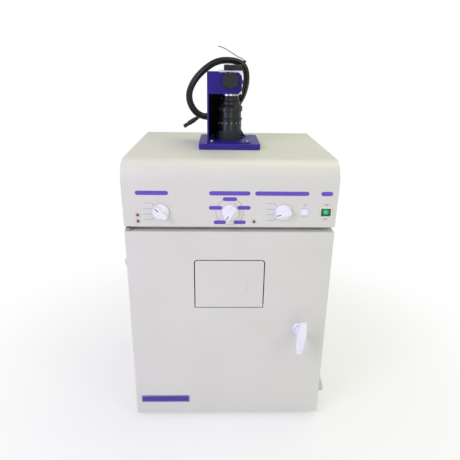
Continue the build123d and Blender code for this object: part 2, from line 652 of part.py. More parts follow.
def transilluminator_tubes():
    length = 2 * (LIGHT_BOX_X - HOLDER_INSET - HOLDER_WIDTH / 2 - SHEET_GAP)
    lamp = Rot(0, 90, 0) * tube(length)
    y0 = LIGHT_BOX_Y - (BOX_TUBES - 1) * BOX_TUBE_PITCH / 2
    z = SHELL_FLOOR + BOX_TUBE_UP
    return [Pos(0, y0 + BOX_TUBE_PITCH * i, z) * lamp for i in range(BOX_TUBES)]


# Lamp ballasts on the deck, each a can with two drilled tabs
def ballasts():
    width, length, height = BALLAST_SIZE
    can = Box(width, length, height, align=LOW)
    can = fillet(can.edges().filter_by(Axis.Y).group_by(Axis.Z)[-1], 3)
    can += Box(width, length + 2 * BALLAST_TAB, SHEET, align=LOW)
    for end in (-1, 1):
        can -= Pos(0, end * (length + BALLAST_TAB) / 2, 0) * Cylinder(2.5, 6 * SHEET)
    places = [side * (HALF - inset) for side in (-1, 1) for inset in BALLAST_INSETS]
    return [Pos(x, BALLAST_Y, DECK_Z1) * can for x in places]


# Rotary switch behind each side knob, with its solder lugs
def rotary_switch(x):
    plate = Pos(0, 0, -SHEET) * Cylinder(SWITCH_RADIUS - 4, 3, align=HIGH)
    body = Pos(0, 0, -SHEET - 3) * Cylinder(SWITCH_RADIUS, SWITCH_LENGTH, align=HIGH)
    bush = Pos(0, 0, -SHEET - 1) * Cylinder(BUSH_HOLE - 0.3, SHEET + 1.4, align=LOW)
    switch = plate + body + bush
    lug = Pos(SWITCH_RADIUS - 2, 0, -SHEET - SWITCH_LENGTH - 6) * Box(1, 3, 8)
    for i in range(SWITCH_LUGS):
        switch += Rot(0, 0, i * 360 / SWITCH_LUGS) * lug
    switch -= Pos(0, 0, -16) * Cylinder(SHAFT_RADIUS + RUNNING_GAP, 60, align=LOW)
    return on_panel(switch, x, KNOB_S)


def rotary_switches():
    return [rotary_switch(LEFT_KNOB_X), rotary_switch(RIGHT_KNOB_X)]


# Bar-grip pointer knob: a low skirt that dips in two crescents beside the raised bar
def knob(pointer):
    r = KNOB_RADIUS
    skirt = turned([(0, 0), (r, 0), (r, KNOB_SKIRT), (r - 1.2, KNOB_SKIRT + 1.4),
                    (KNOB_BAR / 2 + 1, KNOB_FLOOR), (0, KNOB_FLOOR + 0.4)])
    bar = Pos(0, 0, 1) * Box(2 * r + 2, KNOB_BAR, KNOB_HEIGHT - 1, align=LOW)
    bar = bar & Cone(r, r - 0.9, KNOB_HEIGHT, align=LOW)
    bar = fillet(bar.edges().group_by(Axis.Z)[-1], 1.0)
    body = skirt + bar - Pos(0, 0, -1) * Cylinder(SHAFT_RADIUS + SHAFT_FIT, KNOB_BORE + 1.5, align=LOW)
    return Pos(0, 0, KNOB_GAP) * Rot(0, 0, pointer) * body


def side_knob(x, pointer):
    shaft = Pos(0, 0, -14) * Cylinder(SHAFT_RADIUS, 14 + KNOB_GAP + KNOB_BORE, align=LOW)
    return [on_panel(knob(pointer), x, KNOB_S), on_panel(shaft, x, KNOB_S)]


# Panel bush of the filter shaft, with its nut behind the panel
def filter_bushing():
    bush = Pos(0, 0, -10) * Cylinder(BUSH_HOLE - 0.1, 10.4, align=LOW)
    nut = Pos(0, 0, -SHEET - 3.2) * extrude(RegularPolygon(8, 6), 3.2)
    return on_panel(bush + nut - Cylinder(SHAFT_RADIUS + RUNNING_GAP, 60), FILTER_KNOB_X, KNOB_S)


def filter_shaft():
    start = KNOB_START - SHAFT_DIR * (KNOB_GAP + KNOB_BORE)
    return rod(SHAFT_RADIUS, start, APEX - SHAFT_DIR * (GEAR_BACK - GEAR_FACE + 3))


# Pressed bracket that carries the shaft's inner bearing on the deck
def shaft_support():
    z0 = DECK_Z1
    middle = APEX - SHAFT_DIR * SUPPORT_RUN
    support = block(-20, 20, middle.Y - 22, middle.Y + 2, z0, z0 + 2)
    support += block(-12, 12, middle.Y - 2, middle.Y + 2, z0, middle.Z)
    support += rod(9, middle - SHAFT_DIR * 5, middle + SHAFT_DIR * 5)
    for x in (-11, 11):
        support += block(x - 1, x + 1, middle.Y - 22, middle.Y, z0, z0 + 14)
    return support - rod(SHAFT_RADIUS + RUNNING_GAP, middle - SHAFT_DIR * 30, middle + SHAFT_DIR * 30)


# Bevel gear: straight teeth that shrink towards the apex, where the two shafts meet
def tooth_ring(distance, phase):
    h = distance * cos(GEAR_ANGLE)
    module = 2 * GEAR_CONE * sin(GEAR_ANGLE) / GEAR_TEETH
    tip = h * tan(GEAR_ANGLE + atan(0.75 * module / GEAR_CONE))
    root = h * tan(GEAR_ANGLE - atan(1.1 * module / GEAR_CONE))
    step = 360 / GEAR_TEETH
    points = []
    for tooth in range(GEAR_TEETH):
        for radius, share in ((root, -0.31), (tip, -0.12), (tip, 0.12), (root, 0.31)):
            angle = radians(phase + (tooth + share) * step)
            points.append((radius * cos(angle), radius * sin(angle), h))
    return make_face(Polyline(*points, close=True))


def bevel_gear(phase, bore, hub):
    gear = loft([tooth_ring(GEAR_CONE - GEAR_FACE, phase), tooth_ring(GEAR_CONE, phase)], ruled=True)
    gear += Pos(0, 0, GEAR_BACK) * Cylinder(*hub, align=LOW)
    return gear - Cylinder(bore, 6 * GEAR_CONE)


def knob_bevel_gear():
    place = Plane(origin=APEX, x_dir=(1, 0, 0), z_dir=-SHAFT_DIR)
    return place.location * bevel_gear(180 / GEAR_TEETH, SHAFT_RADIUS + SHAFT_FIT, KNOB_GEAR_HUB)


def wheel_bevel_gear():
    return Pos(*APEX) * bevel_gear(0, WHEEL_HUB_RADIUS, WHEEL_GEAR_HUB)


# Filter wheel on its hub, with five glass filters and a detent notch between each pair
def filter_places():
    angles = [radians(90 + i * 360 / FILTER_COUNT) for i in range(FILTER_COUNT)]
    return [(FILTER_PITCH * cos(a), WHEEL_Y + FILTER_PITCH * sin(a)) for a in angles]


def filter_wheel():
    z0, z1 = WHEEL_Z, WHEEL_Z + WHEEL_THICK
    wheel = upright(WHEEL_RADIUS, 0, WHEEL_Y, z0, z1)
    wheel += upright(WHEEL_GEAR_HUB[0], 0, WHEEL_Y, HUB_Z0, HUB_Z0 + 4)
    wheel += upright(WHEEL_HUB_RADIUS, 0, WHEEL_Y, HUB_Z0, z0 + 6)
    wheel += Pos(0, WHEEL_Y, z0 - 8) * Cone(WHEEL_HUB_RADIUS, 20, 8, align=LOW)
    for x, y in filter_places():
        wheel -= upright(FILTER_RADIUS - 1.5, x, y, z0 - 20, z1 + 20)
        wheel -= upright(FILTER_RADIUS + SHEET_GAP, x, y, z1 - FILTER_THICK, z1 + 20)
        reach = -(WHEEL_RADIUS + 3) / FILTER_PITCH
        wheel -= upright(9, reach * x, WHEEL_Y + reach * (y - WHEEL_Y), z0 - 1, z1 + 6)
    return wheel - upright(WHEEL_PIN_RADIUS + RUNNING_GAP, 0, WHEEL_Y, HUB_Z0 - 5, z1 + 20)


def filter_glasses():
    z1 = WHEEL_Z + WHEEL_THICK
    return [upright(FILTER_RADIUS, x, y, z1 - FILTER_THICK, z1 - 0.2) for x, y in filter_places()]


# Shouldered pin under the hood's top, with the washer that holds the wheel up
def wheel_hanger():
    z1 = HOOD_TOP - SHEET
    hanger = upright(17, 0, WHEEL_Y, z1 - 3, z1)
    hanger += upright(10, 0, WHEEL_Y, WHEEL_Z + 6.4, z1)
    hanger += upright(WHEEL_PIN_RADIUS, 0, WHEEL_Y, HUB_Z0 - 3, z1)
    return hanger + upright(WHEEL_PIN_RADIUS + 3, 0, WHEEL_Y, HUB_Z0 - 3.3, HUB_Z0 - 0.3)


# Rocker switches: bezel with its housing, and the rocker that tilts in it
def switch_bezel(outer, rocker):
    w, h = outer
    rw, rh = rocker
    face = Box(w, h, BEZEL_PROUD, align=LOW)
    face = fillet(face.edges().filter_by(Axis.Z), 2.5)
    face = fillet(face.edges().group_by(Axis.Z)[-1], 0.9)
    body = Box(w - 2 * BEZEL_LAP - 0.4, h - 2 * BEZEL_LAP - 0.4, SWITCH_DEPTH, align=HIGH)
    well = Pos(0, 0, BEZEL_PROUD + 1) * Box(rw + 0.8, rh + 3.0, SWITCH_DEPTH - 1, align=HIGH)
    pivot = Pos(0, 0, -ROCKER_PIVOT_DEPTH) * Rot(0, 90, 0) * Cylinder(ROCKER_PIN + RUNNING_GAP, w + 4)
    return face + body - well - (pivot & body)


def switch_rocker(rocker, rest_tilt):
    w, h = rocker
    p = ROCKER_PIVOT_DEPTH
    points = [(-h / 2 + 0.8, -p - 0.5), (h / 2 - 0.8, -p - 0.5), (h / 2, p + 1.6), (h / 4, p + 0.2),
              (0, p - 0.4), (-h / 4, p + 0.2), (-h / 2, p + 1.6)]
    outline = make_face(Polyline(*[(0, s, d) for s, d in points], close=True))
    body = extrude(outline, w / 2, dir=(1, 0, 0), both=True)
    body += Rot(0, 90, 0) * Cylinder(ROCKER_PIN, w + 1.9)
    return Pos(0, 0, -p) * Rot(rest_tilt, 0, 0) * body


# Indicator lamps: a domed lens in a thin collar
def indicator_lamps():
    lamp = Pos(0, 0, -9) * Cylinder(LAMP_RADIUS + 0.3, 9, align=LOW)
    lamp += Cylinder(LAMP_COLLAR, 1.2, align=LOW)
    lamp += Pos(0, 0, 1.0) * Sphere(LAMP_RADIUS)
    return [on_panel(lamp, x, s) for x, s in LAMP_PLACES]


# Door skin: folded pan with the flap's recess, pivot bushes and the flap's pin holes
def recess_box(grow, y0, y1):
    x = FLAP_HALF_WIDTH + FLAP_GAP + grow
    box = block(-x, x, y0, y1, FLAP_Z0 - FLAP_GAP - grow, FLAP_Z1 + FLAP_GAP + grow)
    return fillet(box.edges().filter_by(Axis.Y).group_by(Axis.Z)[-1], FLAP_CORNER + FLAP_GAP + grow)


def door_skin():
    y0, y1, t = DOOR_FRONT_Y, DOOR_BACK_Y, DOOR_SHEET
    outer = block(-HALF, HALF, y0, y1, DOOR_Z0, DOOR_Z1)
    outer = fillet(outer.edges().filter_by(Axis.Z).group_by(Axis.Y)[0], EDGE_RADIUS)
    outer = fillet(outer.edges().group_by(Axis.Y)[0], 1.0)
    skin = outer - block(-HALF + t, HALF - t, y0 + t, y1 + 1, DOOR_Z0 + t, DOOR_Z1 - t)
    skin += recess_box(t, y0 + t / 2, y0 + RECESS_DEPTH)
    skin -= recess_box(0, y0 - 1, y1 + 1)
    skin += upright(BUSH_RADIUS, PIVOT_X, PIVOT_Y, DOOR_Z0 + t / 2, DOOR_Z0 + BUSH_LENGTH)
    skin += upright(BUSH_RADIUS, PIVOT_X, PIVOT_Y, DOOR_Z1 - BUSH_LENGTH, DOOR_Z1 - t / 2)
    for z in (DOOR_Z0, DOOR_Z1):
        skin -= upright(PIN_RADIUS + RUNNING_GAP, PIVOT_X, PIVOT_Y, z - PIN_ENTRY - 1, z + PIN_ENTRY + 1)
    skin -= forward(HANDLE_X, y0, HANDLE_Z) * Cylinder(SPINDLE_RADIUS + 1, 6 * t)
    reach = FLAP_HALF_WIDTH + FLAP_GAP + 6 * t
    pin_hole = Rot(0, 90, 0) * Cylinder(FLAP_PIN_RADIUS + RUNNING_GAP, 2 * reach)
    return skin - Pos(0, FLAP_PIN_Y, FLAP_PIN_Z) * pin_hole


# Flat inner panel behind the skin, with the window and the spindle hole
def door_inner_panel():
    t, y1 = DOOR_SHEET, DOOR_BACK_Y
    gap = t + SHEET_GAP
    panel = block(-HALF + gap, HALF - gap, y1 - t, y1, DOOR_Z0 + gap, DOOR_Z1 - gap)
    sight = FLAP_HALF_WIDTH - 10
    panel -= block(-sight, sight, y1 - 5, y1 + 5, FLAP_Z0 + 8, FLAP_Z1 - 8)
    return panel - forward(HANDLE_X, y1, HANDLE_Z) * Cylinder(SPINDLE_RADIUS + 1, 6 * t)


def window_pane():
    y1 = DOOR_BACK_Y - DOOR_SHEET
    edge = FLAP_GAP + DOOR_SHEET + PANE_LAP
    x = FLAP_HALF_WIDTH + edge
    return block(-x, x, y1 - PANE_THICK, y1, FLAP_Z0 - edge, FLAP_Z1 + edge)


def door_gasket():
    x, w = HALF - GASKET_INSET, GASKET_WIDTH
    z0, z1 = DOOR_Z0 + GASKET_INSET - 1, DOOR_Z1 - GASKET_INSET + 1
    outer = block(-x, x, DOOR_BACK_Y, BODY_FRONT_Y - SHEET_GAP, z0, z1)
    return outer - block(-x + w, x - w, DOOR_BACK_Y - 1, BODY_FRONT_Y + 1, z0 + w, z1 - w)


# Push-to-open latch over the flap, held under the top of the recess
def touch_latch():
    z1 = FLAP_Z1 + FLAP_GAP
    latch = block(-10, 10, DOOR_FRONT_Y + FLAP_THICK + 0.4, DOOR_FRONT_Y + RECESS_DEPTH - 1, z1 - 10, z1)
    return fillet(latch.edges().filter_by(Axis.Y).group_by(Axis.Z)[0], 2)


# Viewing flap with a raised oval, turning on two stub pins at its lower corners
def viewer_flap():
    x, y0 = FLAP_HALF_WIDTH, DOOR_FRONT_Y
    plate = block(-x, x, y0, y0 + FLAP_THICK, FLAP_Z0, FLAP_Z1)
    plate = fillet(plate.edges().filter_by(Axis.Y).group_by(Axis.Z)[-1], FLAP_CORNER)
    middle_z = (FLAP_Z0 + FLAP_Z1) / 2 - OVAL_DROP
    oval = forward(0, y0, middle_z) * extrude(Ellipse(OVAL_WIDTH / 2, OVAL_HEIGHT / 2), OVAL_PROUD)
    plate += chamfer(oval.edges().group_by(Axis.Y)[0], OVAL_PROUD * 0.6)
    for side in (-1, 1):
        plate += block(side * (x - 6), side * x, y0 + 0.5, FLAP_PIN_Y + 1.6, FLAP_Z0, FLAP_PIN_Z + 3)
        plate += rod(FLAP_PIN_RADIUS, (side * (x - 6), FLAP_PIN_Y, FLAP_PIN_Z),
                     (side * (x + FLAP_GAP + 1), FLAP_PIN_Y, FLAP_PIN_Z))
    return plate


# Round rose with a turned groove round the spindle's neck
def handle_rose():
    r, t, bore = ROSE_RADIUS, ROSE_THICK, SPINDLE_RADIUS + 0.08
    rose = turned([(bore, 0), (r, 0), (r, t - 2), (r - 2, t), (r - 3.5, t), (r - 4.2, t - 0.8),
                   (bore, t - 0.8)])
    return forward(HANDLE_X, DOOR_FRONT_Y, HANDLE_Z) * rose


# Leaf-shaped lever on a tapered stem
def handle_lever():
    half, w, e = HANDLE_LENGTH / 2, HANDLE_WIDTH / 2, HANDLE_END_WIDTH / 2
    right = ThreePointArc((e, -half), (w, 0), (e, half))
    left = ThreePointArc((-e, half), (-w, 0), (-e, -half))
    top = ThreePointArc((e, half), (0, half + 2), (-e, half))
    bottom = ThreePointArc((-e, -half), (0, -half - 2), (e, -half))
    leaf = extrude(make_face(Wire([right, top, left, bottom])), HANDLE_THICK)
    leaf = fillet(leaf.edges().group_by(Axis.Z)[-1], 3.5)
    leaf = chamfer(leaf.edges().group_by(Axis.Z)[0], 1.5)
    reach = HANDLE_STANDOFF - HANDLE_THICK - ROSE_THICK - 0.4
    stem = Pos(0, 0, -reach) * Cone(9.5, 7.5, reach + 1.4, align=LOW)
    bore = Pos(0, 0, -reach - 5) * Cylinder(SPINDLE_NECK + SHAFT_FIT, 46 - HANDLE_THICK, align=LOW)
    front = forward(HANDLE_X, DOOR_FRONT_Y - HANDLE_STANDOFF + HANDLE_THICK, HANDLE_Z)
    return front * Rot(0, 0, -HANDLE_LEAN) * (leaf + stem - bore)


def latch_spindle():
    x, z = HANDLE_X, HANDLE_Z
    y0 = DOOR_FRONT_Y - ROSE_THICK - 0.2
    y1 = CAM_Y + CAM_THICK
    spindle = rod(SPINDLE_RADIUS, (x, y0, z), (x, y1 + 7, z))
    spindle += rod(SPINDLE_NECK, (x, y0 - 20, z), (x, y0 + 1, z))
    return spindle + forward(x, y1 + 5, z) * extrude(RegularPolygon(9, 6), 4.8)


def latch_cam():
    outline = Circle(CAM_WIDTH / 2) + Pos(0, -CAM_LENGTH / 2) * Rectangle(CAM_WIDTH, CAM_LENGTH)
    cam = extrude(outline, CAM_THICK)
    cam = fillet(cam.edges().filter_by(Axis.Z).group_by(Axis.Y)[0], 5)
    return forward(HANDLE_X, CAM_Y + CAM_THICK, HANDLE_Z) * (cam - Cylinder(SPINDLE_RADIUS + SHAFT_FIT, 20))


# Camera mount: thick base plate, folded bracket and screws
def mount_holes(shape, z0, z1):
    shape -= upright(PORT_RADIUS, 0, LENS_Y, z0 - 1, z1 + 1)
    for x, y in BOLT_PLACES:
        shape -= upright(BOLT_RADIUS + BOLT_GAP, x, y, z0 - 1, z1 + 1)
    return shape


def camera_base_plate():
    plate = block(-PLATE_WIDTH / 2, PLATE_WIDTH / 2, PLATE_Y0, PLATE_Y1, PLATE_Z0, PLATE_Z1)
    plate = fillet(plate.edges().filter_by(Axis.Z), PLATE_CORNER)
    plate = fillet(plate.edges().group_by(Axis.Z)[-1], 1.5)
    return mount_holes(plate, PLATE_Z0, PLATE_Z1)


# Folded C-shaped bracket: foot, side wall, front band with clipped corners, rear wall with a toe
def camera_bracket():
    t, nib = BRACKET_SHEET, BRACKET_NIB
    x0, x1, y0, y1 = BRACKET_X0, BRACKET_X1, BRACKET_FRONT_Y, BRACKET_BACK_Y
    z1 = BRACKET_TOP
    band_z = z1 - BRACKET_BAND
    foot = block(x0, BOLT_X + 8, BOLT_FRONT_Y - 11, y1, PLATE_Z1, FOOT_Z1)
    foot = mount_holes(fillet(foot.edges().filter_by(Axis.Z), 5), PLATE_Z1, FOOT_Z1)
    wrap = block(x0, x1, y0, y1, FOOT_Z1 - 1, z1)
    wrap = fillet(wrap.edges().filter_by(Axis.Z).group_by(Axis.X)[0], t + 1)
    hollow = block(x0 + t, x1 + 50, y0 + t, y1 - t, FOOT_Z1 - 2, z1 + 1)
    wrap -= fillet(hollow.edges().filter_by(Axis.Z).group_by(Axis.X)[0], 1)
    wrap -= block(x0 + t + 1, x1 + 1, y0 - 1, y0 + t + 1, FOOT_Z1 - 2, band_z)
    for z, up in ((z1, 1), (band_z, -1)):
        clip = [(x1 + 1, z + up), (x1 - nib, z + up), (x1 + 1, z - up * nib)]
        wrap -= along_y(clip, y0 - 1, y0 + t + 1)
    wrap += along_y([(x1 - 1, z1), (x1, z1), (BRACKET_REAR_X1, FOOT_Z1 + 18), (BRACKET_TOE_X1, FOOT_Z1),
                     (x1 - 1, FOOT_Z1)], y1 - t, y1)
    slot_width = 2 * (CLAMP_STUD + CLAMP_SLOT_GAP)
    slot = SlotOverall(CAMERA_DOWN + CAMERA_UP + slot_width, slot_width, rotation=90)
    wrap -= forward(0, y0, CLAMP_Z + (CAMERA_UP - CAMERA_DOWN) / 2) * extrude(slot, 2 * t, both=True)
    notch = CONNECTOR_RADIUS + 2
    wrap -= block(CONNECTOR_X - notch, CONNECTOR_X + notch, y1 - t - 1, y1 + 1,
                  CONNECTOR_Z - notch - CAMERA_DOWN, z1 + 1)
    return foot + wrap


# Plate screws: socket heads on washers, with their nuts under the hood's top
def plate_screws():
    bottom = HOOD_TOP - SHEET
    screw = upright(BOLT_RADIUS, 0, 0, bottom - 5, FOOT_Z1)
    screw += upright(5.0, 0, 0, FOOT_Z1, FOOT_Z1 + 1) + upright(4.2, 0, 0, FOOT_Z1, FOOT_Z1 + 4)
    screw -= Pos(0, 0, FOOT_Z1 + 2) * extrude(RegularPolygon(2.2, 6), 5)
    screw += Pos(0, 0, bottom - 4.2) * extrude(RegularPolygon(4.6, 6), 4.2)
    return [Pos(x, y, 0) * screw for x, y in BOLT_PLACES]


# Camera body, its rear cap and the cable connector
def camera_body():
    body = block(CAMERA_X0, CAMERA_X1, CAMERA_Y0, CAMERA_Y1, CAMERA_Z0, CAMERA_Z1)
    body = fillet(body.edges().filter_by(Axis.Z), 2)
    return body - rod(CLAMP_STUD + RUNNING_GAP, (0, CAMERA_Y0 - 1, CLAMP_Z), (0, CAMERA_Y0 + 12, CLAMP_Z))


def camera_rear_cap():
    cap = block(CAMERA_X0 + CAP_INSET, CAMERA_X1 - 0.3, CAMERA_Y0 + 0.3, CAMERA_Y1,
                CAMERA_Z1, CAMERA_Z1 + CAP_HEIGHT)
    cap = fillet(cap.edges().filter_by(Axis.Z), 2)
    return chamfer(cap.edges().group_by(Axis.Z)[-1], 1.2)


def camera_connector():
    r, length, boot = CONNECTOR_RADIUS, CONNECTOR_LENGTH, CONNECTOR_BOOT
    plug = turned([(0, 0), (r, 0), (r, length - 4), (r - 1.3, length - 4), (r - 1.3, length), (r - 1.5, length),
                   (CABLE_RADIUS + 0.5, length + boot), (0, length + boot)])
    return Pos(CONNECTOR_X, CAMERA_Y1, CONNECTOR_Z) * Rot(-90, 0, 0) * plug


# Lens: mount ring, stepped barrel, front element and the three rings that turn on it
def on_lens(points):
    return Pos(0, LENS_Y, 0) * turned(points)


def lens_mount_ring():
    z0, z1, r = MOUNT_Z0, CAMERA_Z0, MOUNT_RADIUS
    return on_lens([(MOUNT_BORE, z0), (r - 0.8, z0), (r, z0 + 0.8), (r, z1 - 0.8), (r - 0.8, z1),
                    (MOUNT_BORE, z1)])


def lens_barrel():
    z0, gap = LENS_BOTTOM, RING_GAP
    stub = MOUNT_BORE - RUNNING_GAP
    floor = z0 + 14
    front = [(22, floor), (22, z0), (LIP_RADIUS, z0), (LIP_RADIUS, FOCUS_Z0 - gap)]
    focus = [(FOCUS_SEAT, FOCUS_Z0 - gap), (FOCUS_SEAT, FOCUS_Z1 + gap)]
    middle = [(BARREL_RADIUS, FOCUS_Z1 + gap), (BARREL_RADIUS, ZOOM_Z0 - gap)]
    zoom = [(ZOOM_SEAT, ZOOM_Z0 - gap), (ZOOM_SEAT, ZOOM_Z1 + gap)]
    rear = [(REAR_RADIUS, ZOOM_Z1 + gap), (REAR_RADIUS, IRIS_Z0 - 1.5), (REAR_RADIUS - 1.2, IRIS_Z0 - gap)]
    iris = [(IRIS_SEAT, IRIS_Z0 - gap), (IRIS_SEAT, MOUNT_Z0)]
    thread = [(stub, MOUNT_Z0), (stub, CAMERA_Z0 - 1), (0, CAMERA_Z0 - 1), (0, floor)]
    return on_lens(front + focus + middle + zoom + rear + iris + thread)


def front_lens():
    z0, z1 = LENS_BOTTOM + 5, LENS_BOTTOM + 13.8
    return on_lens([(0, z0), (12, z0 + 1.2), (21.8, z0 + 4), (21.8, z1), (0, z1)])


# Grooves cut straight down into a ring's rim
def ribbed(ring, count, radius, cut, z0, z1):
    for i in range(count):
        angle = 2 * pi * i / count
        ring -= upright(cut, radius * cos(angle), LENS_Y + radius * sin(angle), z0, z1)
    return ring


def iris_ring():
    z0, z1, r, seat = IRIS_Z0, IRIS_Z1, IRIS_RADIUS, IRIS_SEAT + RUNNING_GAP
    ring = on_lens([(seat, z0), (r - 0.6, z0), (r, z0 + 0.6), (r, z1 - 0.6), (r - 0.6, z1), (seat, z1)])
    return ribbed(ring, 10, r + 1.6, 2.6, z0 + 2, z1 - 2)


def zoom_ring():
    z0, z1, r, seat = ZOOM_Z0, ZOOM_Z1, ZOOM_RADIUS, ZOOM_SEAT + RUNNING_GAP
    flare = z0 + 10
    ring = on_lens([(seat, z0), (r - 0.8, z0), (r, z0 + 0.8), (r, flare), (REAR_RADIUS + 0.5, z1),
                    (seat, z1)])
    return ribbed(ring, 24, r + 0.3, 0.9, z0 + 2.5, flare - 1)


def focus_ring():
    z0, z1, seat = FOCUS_Z0, FOCUS_Z1, FOCUS_SEAT + RUNNING_GAP
    grip_z = z0 + FOCUS_GRIP
    ridge_z = z1 - RIDGE_HEIGHT
    ring = on_lens([(seat, z0), (GRIP_RADIUS - 0.8, z0), (GRIP_RADIUS, z0 + 0.8), (GRIP_RADIUS, grip_z),
                    (SCALE_RADIUS, grip_z), (SCALE_RADIUS, ridge_z), (RIDGE_RADIUS, ridge_z + 1),
                    (RIDGE_RADIUS, z1 - 2.5), (BARREL_RADIUS + 0.6, z1), (seat, z1)])
    return ribbed(ring, 36, GRIP_RADIUS + 0.3, 0.9, z0 + 2.5, grip_z - 2.5)


# Seven-lobed clamp knob with its collar and stud
def clamp_knob():
    reach = CLAMP_RADIUS - CLAMP_LOBE_RADIUS
    outline = Circle(CLAMP_CORE)
    for i in range(CLAMP_LOBES):
        angle = 2 * pi * (i + 0.2) / CLAMP_LOBES
        outline += Pos(reach * cos(angle), reach * sin(angle)) * Circle(CLAMP_LOBE_RADIUS)
    head = extrude(outline, CLAMP_THICK)
    head = chamfer(head.edges().group_by(Axis.Z)[-1], 1.6)
    head -= Pos(0, 0, CLAMP_THICK) * Cone(1.0, 2.2, 1.2)
    collar = Pos(0, 0, RUNNING_GAP - CLAMP_COLLAR) * Cylinder(9, CLAMP_COLLAR, align=LOW)
    length = CLAMP_COLLAR + BRACKET_SHEET + CAMERA_GAP + CLAMP_ENTRY
    stud = Pos(0, 0, -length) * Cylinder(CLAMP_STUD, length, align=LOW)
    return forward(0, BRACKET_FRONT_Y - CLAMP_COLLAR, CLAMP_Z) * (head + collar + stud)


# Camera cable: lead from the connector, coil hung behind the bracket, tail and plug
def corner_radii(points, closed):
    radii = []
    count = len(points)
    for i in range(count):
        if not closed and i in (0, count - 1):
            continue
        before, here, after = points[i - 1], points[i], points[(i + 1) % count]
        turn = radians((here - before).get_angle(after - here))
        radii.append(0.45 * min((here - before).length, (after - here).length) / tan(turn / 2))
    return radii


def swept(points, radius, closed=False):
    path = FilletPolyline(*points, radius=corner_radii(points, closed), close=closed)
    start = path.edges()[0]
    solid = sweep(Plane(origin=start @ 0, z_dir=start % 0) * Circle(radius), path)
    expected = pi * radius ** 2 * path.length
    print("swept volume", round(solid.volume, 1), "section times length", round(expected, 1))
    return solid


def cable_coil():
    return swept([Vector(x, COIL_Y, CAMERA_Z0 + z) for x, z in COIL_CORNERS], BUNDLE_RADIUS, closed=True)


def cable_lead():
    start = [CABLE_START, CABLE_START + Vector(0, 16, 0)]
    return swept(start + [CABLE_ORIGIN + Vector(p) for p in LEAD_ROUTE], CABLE_RADIUS)


def cable_tail():
    return swept([CABLE_ORIGIN + Vector(p) for p in TAIL_ROUTE], CABLE_RADIUS)


# Moulded plug with its strain relief and hollow nose
def cable_plug():
    back = CABLE_ORIGIN + Vector(TAIL_ROUTE[-1])
    way = (Vector(TAIL_ROUTE[-1]) - Vector(TAIL_ROUTE[-2])).normalized()
    nose, grip, r = PLUG_LENGTH, PLUG_LENGTH - 15, PLUG_RADIUS
    relief = [(0, 0), (CABLE_RADIUS + 0.5, 0), (r - 0.6, 12), (r, 12.8)]
    plug = turned(relief + [(r, grip - 0.8), (r - 1, grip), (r - 1, nose), (r - 1.9, nose), (r - 1.9, nose - 6),
                            (0, nose - 6)])
    return Plane(origin=back, z_dir=way).location * plug


# Cable tie round the coil, with its lock and long tail
def cable_tie():
    angle = radians(TIE_ANGLE)
    first, second = COIL_CORNERS[0], COIL_CORNERS[1]
    share = 0.66
    here = Vector(first[0] + share * (second[0] - first[0]), COIL_Y,
                  CAMERA_Z0 + first[1] + share * (second[1] - first[1]) - 1.5)
    place = Plane(origin=here, x_dir=(cos(angle), 0, sin(angle)), z_dir=(-sin(angle), 0, cos(angle)))
    inside = BUNDLE_RADIUS + 0.6
    tie = Cylinder(inside + TIE_THICK, TIE_WIDTH) + Pos(inside + 2.2, 1, 0) * Box(4.4, 6.5, TIE_WIDTH + 1.2)
    tie -= Cylinder(inside, 20)
    return place.location * tie + swept([CABLE_ORIGIN + Vector(p) for p in TIE_ROUTE], TIE_TAIL_RADIUS)


